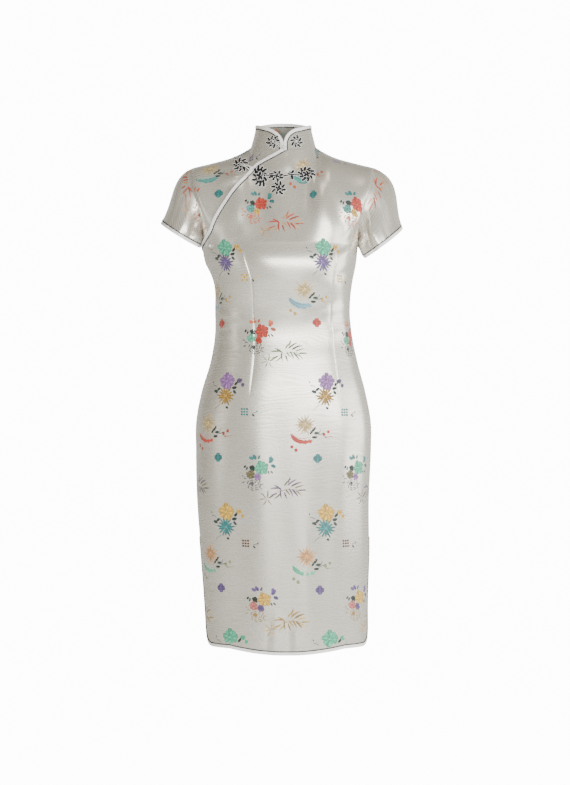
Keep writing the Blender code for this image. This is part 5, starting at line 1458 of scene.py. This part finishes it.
def weave_figures(name, panel, origin_wide, origin_high=0.0):
    """Lays the repeat's blades on a cloth panel wherever they fall on it, as one joined mesh.

    Each blade point is looked up by its cloth coordinates, so figures bend with the folds and are
    cut off at the seams. Blades whose points don't all lie on the panel are left out.
    """
    wide, high = panel["wide"], panel["high"]
    points, normals = panel["points"], panel["normals"]
    low_wide, high_wide = wide.min(), wide.max()
    low_high, high_high = high.min(), high.max()
    found = {"points": [], "colours": []}
    for band, colours in enumerate(COLOURWAYS):
        tints = np.array([to_linear(PALETTE[colours[role]]) for role in BLADE_ROLES])
        tints = np.clip(tints * BLADE_SIZES[:, [8]], 0, 1)
        first = int(math.floor((low_wide - origin_wide) / REPEAT)) - 1
        last = int(math.ceil((high_wide - origin_wide) / REPEAT)) + 1
        for copy in range(first, last + 1):
            w = BLADE_X + origin_wide + copy * REPEAT
            v = BLADE_Y + colours["at"] + origin_high
            near = (w.max(axis=(1, 2)) > low_wide) & (w.min(axis=(1, 2)) < high_wide)
            near &= (v.max(axis=(1, 2)) > low_high) & (v.min(axis=(1, 2)) < high_high)
            if not near.any():
                continue
            row, column, inside = find_on(wide, high, w[near], v[near])
            whole = inside.all(axis=(1, 2))
            row, column = row[whole], column[whole]
            place = sample(points, row, column) + sample(normals, row, column) * BLADE_LIFT[near][whole][..., None]
            found["points"].append(place)
            # the blade's colour times its root-to-tip tone and its painted edge shade
            tint = tints[near][whole][:, None, None, :] * BLADE_TONE_AND_PAINTED_SHADE[near][whole][..., None]
            found["colours"].append(tint)
    place = np.concatenate(found["points"])
    tint = np.clip(np.concatenate(found["colours"]), 0, 1)
    count = len(place)
    cell = BLADE_STEPS * BLADE_SIDES
    faces = grid_faces(BLADE_STEPS, BLADE_SIDES)
    faces = (faces[None] + (np.arange(count) * cell)[:, None, None]).reshape(-1, 4)
    flat = place.reshape(-1, 3)
    turn_of = np.cross(flat[faces[:, 1]] - flat[faces[:, 0]], flat[faces[:, 3]] - flat[faces[:, 0]])
    centre = flat[faces[:, 0]] - points.reshape(-1, 3).mean(axis=0)
    if np.sum(turn_of * centre) < 0:
        faces = faces[:, ::-1]
    mesh = fill_mesh(name, flat, faces)
    layer = mesh.color_attributes.new(name="silk", type="FLOAT_COLOR", domain="POINT")
    rgba = np.concatenate([tint.reshape(-1, 3), np.ones((count * cell, 1))], axis=1)
    layer.data.foreach_set("color", rgba.astype(np.float32).reshape(-1))
    return add_piece(name, mesh, [brocade])


figures = {
    "front": weave_figures("figures_front", front, PEONY_WIDE),
    "breast": weave_figures("figures_breast", underlap, PEONY_WIDE),
    "back": weave_figures("figures_back", back, BACK_WIDE),
    "right": weave_figures("figures_sleeve_right", sleeves["right"], 0.030, 0.12),
    "left": weave_figures("figures_sleeve_left", sleeves["left"], -0.050, 0.12),
}

# Frog fastenings: flowers of black satin cord coiled into petals, each petal edged with a loop of
# fine white cord; they close the collar, the shoulder and the breast with ball buttons.
PETAL_STEPS = 11
PETAL_SIDES = 7
PETAL_RAISE = 0.0009
EDGE_CORD = 0.00045
EDGE_START = 0.40
LOOP_POINTS = 26
HEART_RADIUS = 0.0024
RING_HEARTS = ("frog_collar_right", "frog_collar_left", "frog_shoulder")
FLOWERS = np.array(
    [
        ("frog_collar_right", 8, 0.30, 80.0, 0.0018),
        ("frog_collar_left", 8, 0.10, -80.0, 0.0018),
        ("frog_shoulder", 9, 0.20, 80.0, 0.0019),
        ("frog_spray_1", 11, 0.05, 60.0, 0.0023),
        ("frog_spray_2", 8, 0.40, -65.0, 0.0021),
        ("frog_spray_3", 10, 0.15, 70.0, 0.0022),
        ("frog_spray_4", 8, 0.20, -65.0, 0.0021),
        ("frog_leaf", 3, 0.00, 40.0, 0.0024),
    ],
    dtype=[("node", "U24"), ("petals", int), ("turn", float), ("bend", float), ("half", float)],
)
# Rings of petals in a flower: petals over the table's, start and reach over the half size, bend
# over the table's and turn between petals.
PETAL_RINGS = np.array(
    [(1.0, 0.42, 1.16, 1.0, 0.25), (0.5, 0.06, 0.50, -0.8, 0.0)],
    dtype=[("each", float), ("start", float), ("reach", float), ("bend", float), ("turn", float)],
)

frog_black = trim_material("frog_satin", (0.006, 0.006, 0.008), (0.026, 0.026, 0.030), 0.42, 300.0, Specular_IOR_Level=0.3)
cord_white = trim_material("frog_cord", (0.82, 0.815, 0.79), (0.62, 0.61, 0.58), 0.45, 420.0, Sheen_Weight=0.2)


def node_points(node):
    """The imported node's points, as an array."""
    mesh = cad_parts[node].data
    points = np.zeros(len(mesh.vertices) * 3)
    mesh.vertices.foreach_get("co", points)
    return points.reshape(-1, 3)


def seat_of(node):
    """The soft curved face that a node lies on: a second-degree fit of its depth over width and height."""
    points = node_points(node)
    middle = points.mean(axis=0)

    def terms(x, z):
        x, z = (x - middle[0]) / 0.02, (z - middle[2]) / 0.02
        return np.stack([np.ones_like(x), x, z, x * x, x * z, z * z], axis=-1)

    fit, _, _, _ = np.linalg.lstsq(terms(points[:, 0], points[:, 2]), points[:, 1], rcond=None)
    behind = (points[:, 1] - terms(points[:, 0], points[:, 2]) @ fit).max()
    return lambda x, z: terms(x, z) @ fit + behind


def petal_outline(length, way, bend, run):
    """Middle line of a petal, a circular arc from the heart outwards, and the arc's way at each step."""
    turn = math.radians(bend) + 1e-5
    angle = way + turn * (run - 0.5)
    x = length * (np.cos(way - turn / 2) - np.cos(angle)) / turn
    z = length * (np.sin(angle) - np.sin(way - turn / 2)) / turn
    return x, z, angle


def tube_points(line, radius, sides):
    """Rings of points round a closed or open line, turned by its tangent and the -Y direction."""
    tangent = unit(np.gradient(line, axis=-2))
    outward = np.broadcast_to(np.array([0.0, -1.0, 0.0]), line.shape)
    side = unit(np.cross(tangent, outward))
    up = unit(np.cross(side, tangent))
    angle = np.arange(sides) * 2 * math.pi / sides
    ring = side[..., None, :] * np.cos(angle)[:, None] + up[..., None, :] * np.sin(angle)[:, None]
    return line[..., None, :] + ring * radius


def make_flower(flower):
    """One frog flower: petals as padded blades on the node's seat, and a white cord loop round each."""
    node = str(flower["node"])
    low, high = (np.array(corner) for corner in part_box(node))
    centre, half_size = (low + high) / 2, (high - low) / 2
    seat = seat_of(node)
    half = float(flower["half"])
    run = np.linspace(0.0, 1.0, PETAL_STEPS)[:, None]
    side = np.linspace(-1.0, 1.0, PETAL_SIDES)[None, :]
    swell = np.clip(run * 6, 0.25, 1) ** 0.5 * np.sqrt(np.clip(1.02 - np.clip((run - 0.8) / 0.2, 0, 1) ** 2, 0, 1))
    around = np.linspace(-1.0, 1.0, LOOP_POINTS)[:, None]
    along = 1.0 - np.abs(around) ** 1.6 * (1 - EDGE_START)
    hand = np.sign(around) * np.clip(np.abs(around) * 3.2, 0, 1) ** 0.6
    pads, loops = [], []
    for ring in PETAL_RINGS[: 1 if node == "frog_leaf" else 2]:
        start = 0.0 if node == "frog_leaf" else float(ring["start"])
        petals = int(flower["petals"] * ring["each"])
        for petal in range(petals):
            way = float(flower["turn"]) + 2 * math.pi * (petal + float(ring["turn"])) / petals
            reach = float(ring["reach"]) * (0.93 + 0.07 * math.sin(2.3 * petal + petals))
            bend = float(flower["bend"]) * float(ring["bend"])
            first = (math.sin(way) * start * half_size[0] + centre[0], math.cos(way) * start * half_size[2] + centre[2])
            x, z, angle = petal_outline(reach - start, way + math.radians(bend) * 0.35, bend, run)
            px = x * half_size[0] + first[0] + np.cos(angle) * swell * half * side
            pz = z * half_size[2] + first[1] - np.sin(angle) * swell * half * side
            bulge = np.sqrt(np.clip(1 - side**2, 0, 1)) * np.sqrt(np.clip(swell, 0, 1))
            pads.append(np.stack([px, seat(px, pz) - 0.0002 - PETAL_RAISE * bulge, pz], axis=-1))
            x, z, angle = petal_outline(reach - start, way + math.radians(bend) * 0.35, bend, along)
            wide = (half + EDGE_CORD) * hand
            tip = EDGE_CORD * np.clip(1 - np.abs(around) * 3.2, 0, 1)
            lx = x * half_size[0] + first[0] + np.cos(angle) * wide + np.sin(angle) * tip
            lz = z * half_size[2] + first[1] - np.sin(angle) * wide + np.cos(angle) * tip
            loops.append(np.concatenate([lx, seat(lx, lz) - EDGE_CORD * 1.2, lz], axis=1))
    count = len(pads)
    pad_points = np.array(pads).reshape(-1, 3)
    faces = grid_faces(PETAL_STEPS, PETAL_SIDES)
    faces = (faces[None] + (np.arange(count) * PETAL_STEPS * PETAL_SIDES)[:, None, None]).reshape(-1, 4)
    step = np.cross(
        pad_points[faces[:, 1]] - pad_points[faces[:, 0]], pad_points[faces[:, 3]] - pad_points[faces[:, 0]]
    )
    if step[:, 1].sum() > 0:
        faces = faces[:, ::-1]
    petals = add_piece(node + "_petals", fill_mesh(node, pad_points, faces), [frog_black])
    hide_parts(node)
    rings = tube_points(np.array(loops), EDGE_CORD, 6)
    index = grid_faces(LOOP_POINTS, 6, closed=True)
    every = (index[None] + (np.arange(count) * LOOP_POINTS * 6)[:, None, None]).reshape(-1, 4)
    add_piece(node + "_cord", fill_mesh(node + "_cord", rings.reshape(-1, 3), every), [cord_white])
    if node in RING_HEARTS:
        turn = np.linspace(0.0, 4.2 * math.pi, 60)[:, None]
        radius = HEART_RADIUS * (0.35 + 0.65 * turn / turn[-1])
        hx, hz = centre[0] + np.sin(turn) * radius, centre[2] + np.cos(turn) * radius
        spiral = np.concatenate([hx, seat(hx, hz) - PETAL_RAISE - EDGE_CORD, hz], axis=1)
        rings = tube_points(spiral, EDGE_CORD, 6)
        mesh = fill_mesh(node + "_heart", rings.reshape(-1, 3), grid_faces(60, 6, closed=True))
        add_piece(node + "_heart", mesh, [cord_white])


for flower in FLOWERS:
    make_flower(flower)

# Stems of the breast spray: flat black bars edged with white cord that join its flowers and leaf.
STEMS = np.array(
    [
        ("bar", "frog_spray_2", "frog_leaf", -0.0012, 0.30),
        ("reach", "frog_leaf", "frog_spray_3", -0.0010, 0.30),
        ("drop", "frog_spray_2", "frog_spray_4", 0.0006, 0.20),
        ("join", "frog_spray_1", "frog_spray_2", 0.0008, 0.30),
    ],
    dtype=[("name", "U12"), ("first", "U24"), ("last", "U24"), ("sag", float), ("inset", float)],
)
STEM_HALF = 0.0013
STEM_RAISE = 0.0006


def make_stem(stem):
    """A low bar over the seats of two flowers, along a line between their hearts, with a cord on each side."""
    first, last = str(stem["first"]), str(stem["last"])
    ends = [sum(np.array(corner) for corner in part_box(node)) / 2 for node in (first, last)]
    run = np.linspace(0.0, 1.0, 20)[:, None]
    line = ends[0] + (ends[1] - ends[0]) * run
    line[:, 2] += float(stem["sag"]) * np.sin(run[:, 0] * math.pi)
    seats = [seat_of(node)(line[:, 0], line[:, 2]) for node in (first, last)]
    line[:, 1] = seats[0] * (1 - run[:, 0]) + seats[1] * run[:, 0] - STEM_RAISE
    ups = np.tile(np.array([0.0, -1.0, 0.0]), (len(line), 1))
    outs = edge_outs(line, ups, np.tile(np.cross(unit(line[-1] - line[0]), ups[0]), (len(line), 1)))
    section = round_section(1.0, 10) * np.array([STEM_HALF, STEM_RAISE])
    name = "frog_stem_" + str(stem["name"])
    bar = add_piece(name, sweep("stem", line, outs, ups, section), [frog_black])
    if stem["name"] == "reach":
        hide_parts("frog_stem")
    for number, hand in enumerate((-1.0, 1.0), 1):
        side = line + outs * hand * (STEM_HALF + EDGE_CORD)
        add_piece(
            "%s_cord_%d" % (name, number), sweep("edge", side, outs, ups, round_section(EDGE_CORD, 6)), [cord_white]
        )


for stem in STEMS:
    make_stem(stem)

# Ball buttons: white cord tied in a round knot, each lead passing over and under the next.
KNOTS = ("knot_collar", "knot_shoulder", "knot_underarm")
KNOT_LEADS = 3
KNOT_BIGHTS = 5
KNOT_CORD = 0.00085
KNOT_TURNS = 220


def make_knot(node):
    """A Turk's head on a ball: the cord runs round three times while it swings between the poles five times."""
    low, high = (np.array(corner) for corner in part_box(node))
    centre, half = (low + high) / 2, (high - low) / 2
    run = np.linspace(0.0, 2 * math.pi, KNOT_TURNS, endpoint=False)
    tilt = 1.12 * np.sin(KNOT_BIGHTS * run)
    round_ = KNOT_LEADS * run
    radius = 1.0 - KNOT_CORD / half[0] + 0.13 * np.cos(KNOT_BIGHTS * run * KNOT_LEADS)
    line = np.stack([np.cos(round_) * np.cos(tilt), -np.sin(tilt), np.sin(round_) * np.cos(tilt)], axis=1)
    line = centre + line * radius[:, None] * half * 0.92
    tangent = unit(np.roll(line, -1, axis=0) - np.roll(line, 1, axis=0))
    ups = unit(line - centre)
    outs = unit(np.cross(tangent, ups))
    mesh = sweep("knot", line, outs, ups, round_section(KNOT_CORD, 7), closed=True)
    knot = add_piece(node + "_cord", mesh, [cord_white])
    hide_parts(node)
    sphere = np.linspace(0.02, math.pi - 0.02, 12)[:, None]
    turn = np.linspace(0, 2 * math.pi, 18, endpoint=False)[None, :]
    core = np.stack([np.sin(sphere) * np.cos(turn), np.cos(sphere) + 0 * turn, np.sin(sphere) * np.sin(turn)], axis=-1)
    core = centre + core * half * 0.72
    add_piece(node + "_core", fill_mesh("core", core.reshape(-1, 3), grid_faces(12, 18, closed=True)), [cord_white])


for node in KNOTS:
    make_knot(node)

# Cords of the buttons: a doubled white cord from each flower that makes the loop round the button.
LOOP_CORD = 0.0007
LOOPS = np.array(
    [
        ("collar", "frog_collar_right", "knot_collar", 0.0012),
        ("shoulder", "frog_shoulder", "knot_shoulder", 0.0012),
    ],
    dtype=[("name", "U12"), ("flower", "U24"), ("knot", "U24"), ("spread", float)],
)


def make_button_loop(loop):
    """A long loop: out from the flower's heart on one side, round the knot and back on the other."""
    flower = [np.array(corner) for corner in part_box(str(loop["flower"]))]
    knot = [np.array(corner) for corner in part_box(str(loop["knot"]))]
    start, end = sum(flower) / 2, sum(knot) / 2
    radius = (knot[1][0] - knot[0][0]) / 2 + LOOP_CORD
    away = end - start
    away[1] = 0.0
    length = np.linalg.norm(away)
    along = away / length
    side = np.array([-along[2], 0.0, along[0]])
    angle = np.linspace(-2.2, 2.2, 22)[:, None]
    ring = end + along * np.cos(angle) * radius + side * np.sin(angle) * radius
    spread = float(loop["spread"])
    ways = [start + along * length * 0.15 - side * spread, start + along * length * 0.45 - side * spread]
    backs = [start + along * length * 0.45 + side * spread, start + along * length * 0.15 + side * spread]
    line = np.concatenate([ways, ring, backs])
    depth = [flower[0][1], flower[0][1] - 0.0002, knot[1][1] - LOOP_CORD]
    share = np.clip((line - start) @ along / length, 0, 1)
    line[:, 1] = np.interp(share, [0.0, 0.4, 0.9], depth)
    ups = np.tile(np.array([0.0, -1.0, 0.0]), (len(line), 1))
    steps = unit(np.gradient(line, axis=0))
    outs = unit(np.cross(steps, ups))
    mesh = sweep("loop", line, outs, unit(np.cross(outs, steps)), round_section(LOOP_CORD, 8))
    add_piece("button_loop_" + str(loop["name"]), mesh, [cord_white])


for loop in LOOPS:
    make_button_loop(loop)

# Hand stitches: short white slip stitches that hold each binding's inner fold to the cloth.
STITCH_PITCH = 0.0042
STITCH_LONG = 0.0016
STITCH_HALF = 0.00018
STITCH_STEPS = 4


def stitch_row(label, trim):
    """Small raised stitches set evenly along a trim, as one joined mesh of short blunt ovals."""
    line, outs, ups = trim["line"], unit(trim["outs"]), trim["ups"]
    along = np.concatenate([[0.0], np.cumsum(np.linalg.norm(np.diff(line, axis=0), axis=1))])
    places = np.arange(STITCH_PITCH, along[-1] - STITCH_PITCH, STITCH_PITCH)
    at = [np.stack([np.interp(places, along, item[:, axis]) for axis in range(3)], axis=1) for item in (line, outs, ups)]
    ahead = unit(np.cross(at[1], at[2]))
    run = np.linspace(-1, 1, STITCH_STEPS)[None, :, None, None]
    angle = (np.arange(5) * 2 * math.pi / 5)[None, None, :, None]
    thick = STITCH_HALF * np.sqrt(np.clip(1.15 - run**2, 0, 1))
    middle = at[0] + at[1] * (BINDING_START + 0.0004) + at[2] * 0.00035
    points = middle[:, None, None] + ahead[:, None, None] * run * STITCH_LONG / 2
    points = points + thick * (np.cos(angle) * at[1][:, None, None] + np.sin(angle) * at[2][:, None, None])
    faces = grid_faces(STITCH_STEPS, 5, closed=True)
    every = (faces[None] + (np.arange(len(places)) * STITCH_STEPS * 5)[:, None, None]).reshape(-1, 4)
    add_piece("stitches_" + label, fill_mesh("stitches", points.reshape(-1, 3), every), [cord_white])


for label, trim in trims.items():
    stitch_row(label, trim)

# Seam allowances: narrow turnings pressed open behind the side seams, from underarm to slit.
ALLOWANCE = 0.012


def seam_allowance(label, side):
    """A strip inside a side seam that bridges front and back, as wide as both turnings."""
    levels = LEVELS[(LEVELS > SLIT_TOP - ARMPIT) & (LEVELS < 0.0)][::3]
    rows = []
    for face in (-1, 1):
        steps = np.linspace(1.0, 0.0, 5) if face < 0 else np.linspace(0.0, 1.0, 5)[1:]
        depth = follow(RINGS, "height", "front" if face < 0 else "back", ARMPIT + levels)
        for step in steps:
            ratio = (ALLOWANCE * step / depth) ** (1.0 / SECTION_ROUNDNESS)
            across = side * (1.0 - np.arcsin(ratio) * 2 / math.pi)
            points = body(across, levels, face)
            points[:, 0] -= side * (CLOTH + 0.0004)
            rows.append(points)
    points = np.array(rows)
    faces = grid_faces(*points.shape[:2])
    flat = points.reshape(-1, 3)
    normal = np.cross(flat[faces[0, 1]] - flat[faces[0, 0]], flat[faces[0, 3]] - flat[faces[0, 0]])
    if normal[0] * -side < 0:
        faces = faces[:, ::-1]
    mesh = fill_mesh("allowance", flat, faces)
    layer = mesh.uv_layers.new(name="cloth")
    corners = np.zeros(len(mesh.loops), dtype=np.int32)
    mesh.loops.foreach_get("vertex_index", corners)
    layer.data.foreach_set("uv", flat[corners][:, [1, 2]].astype(np.float32).reshape(-1))
    return add_piece("seam_allowance_" + label, mesh, [reverse])


allowances = {label: seam_allowance(label, side) for label, side in (("right", -1.0), ("left", 1.0))}

# Studio: a pale cove, floor and back wall in one curve, with a low broad key light in front of the
# bust, a weaker one before the skirt, a broad one at the right and dim ones at the left and overhead.
FLOOR_HEIGHT = -1.36
COVE_BACK = 6.0
COVE_FRONT = -7.0
COVE_CURVE = 1.6
COVE_TOP = 7.0
COVE_HALF = 12.0
COVE_SEEN = 13.0
COVE_GLOW = 0.30
SURROUND = (0.56, 0.51, 0.42)
SURROUND_STRENGTH = 0.55
LIGHTS = (
    ("key", (0.75, -2.2, -0.01), (3.2, 0.70), 92.0, (1.0, 1.0, 0.99)),
    ("front", (0.40, -2.6, -0.95), (1.4, 0.7), 6.0, (1.0, 1.0, 0.98)),
    ("right", (1.9, -0.30, -0.34), (1.5, 0.9), 26.0, (1.0, 1.0, 0.99)),
    ("left", (-2.2, -1.2, -0.2), (0.6, 1.2), 4.0, (1.0, 0.97, 0.93)),
    ("top", (0.2, -0.9, 2.1), (0.8, 0.8), 6.0, (1.0, 0.92, 0.80)),
)


def stage_cove():
    """A pale studio cove: a level floor that turns up through a quarter round into a wall behind."""
    turn = np.linspace(0.0, math.pi / 2, 17)
    out = np.concatenate([[COVE_FRONT], COVE_BACK - COVE_CURVE + COVE_CURVE * np.sin(turn), [COVE_BACK]])
    up = np.concatenate([[0.0], COVE_CURVE - COVE_CURVE * np.cos(turn), [COVE_TOP]]) + FLOOR_HEIGHT
    side = np.linspace(-COVE_HALF, COVE_HALF, 3)
    points = np.stack(
        [np.broadcast_to(side, (len(out), 3)), np.repeat(out[:, None], 3, 1), np.repeat(up[:, None], 3, 1)], axis=-1
    )
    mesh = fill_mesh("cove", points.reshape(-1, 3), grid_faces(len(out), 3))
    material, tree, shader = new_material("cove", 0.8)
    shader.inputs["Emission Color"].default_value = (1.0, 1.0, 1.0, 1.0)
    seen = tree.nodes.new("ShaderNodeLightPath").outputs["Is Camera Ray"]
    glow = math_node(tree, "ADD", math_node(tree, "MULTIPLY", seen, COVE_SEEN - COVE_GLOW), COVE_GLOW)
    tree.links.new(glow, shader.inputs["Emission Strength"])
    vector = tree.nodes.new("ShaderNodeTexCoord").outputs["Object"]
    mottle = texture_node(tree, "ShaderNodeTexNoise", vector, (1.0, 1.0, 1.0), Scale=1.5)
    tree.links.new(mix_node(tree, mottle, (0.90, 0.90, 0.90), (0.87, 0.87, 0.87)), shader.inputs["Base Color"])
    mesh.materials.append(material)
    cove = bpy.data.objects.new("cove", mesh)
    bpy.context.scene.collection.objects.link(cove)


def soft_light(name, place, size, power, colour):
    """A soft area light, wide by tall, that faces the middle of the dress."""
    lamp = bpy.data.lights.new(name, "AREA")
    lamp.shape = "RECTANGLE"
    lamp.size, lamp.size_y = size
    lamp.energy = power
    lamp.color = colour
    item = bpy.data.objects.new(name, lamp)
    item.location = place
    aim = np.array([0.0, 0.0, -0.45]) - np.array(place)
    flat = math.hypot(aim[0], aim[1])
    item.rotation_euler = (math.atan2(flat, -aim[2]), 0.0, math.atan2(aim[1], aim[0]) - math.pi / 2)
    bpy.context.scene.collection.objects.link(item)


stage_cove()
for light in LIGHTS:
    soft_light(*light)
world = bpy.data.worlds.new("surround")
world.use_nodes = True
sky = world.node_tree
seen = sky.nodes.new("ShaderNodeLightPath").outputs["Is Camera Ray"]
sky.links.new(mix_node(sky, seen, SURROUND, (1.0, 1.0, 1.0)), sky.nodes["Background"].inputs["Color"])
reach = math_node(sky, "ADD", math_node(sky, "MULTIPLY", seen, COVE_SEEN - SURROUND_STRENGTH), SURROUND_STRENGTH)
sky.links.new(reach, sky.nodes["Background"].inputs["Strength"])
bpy.context.scene.world = world
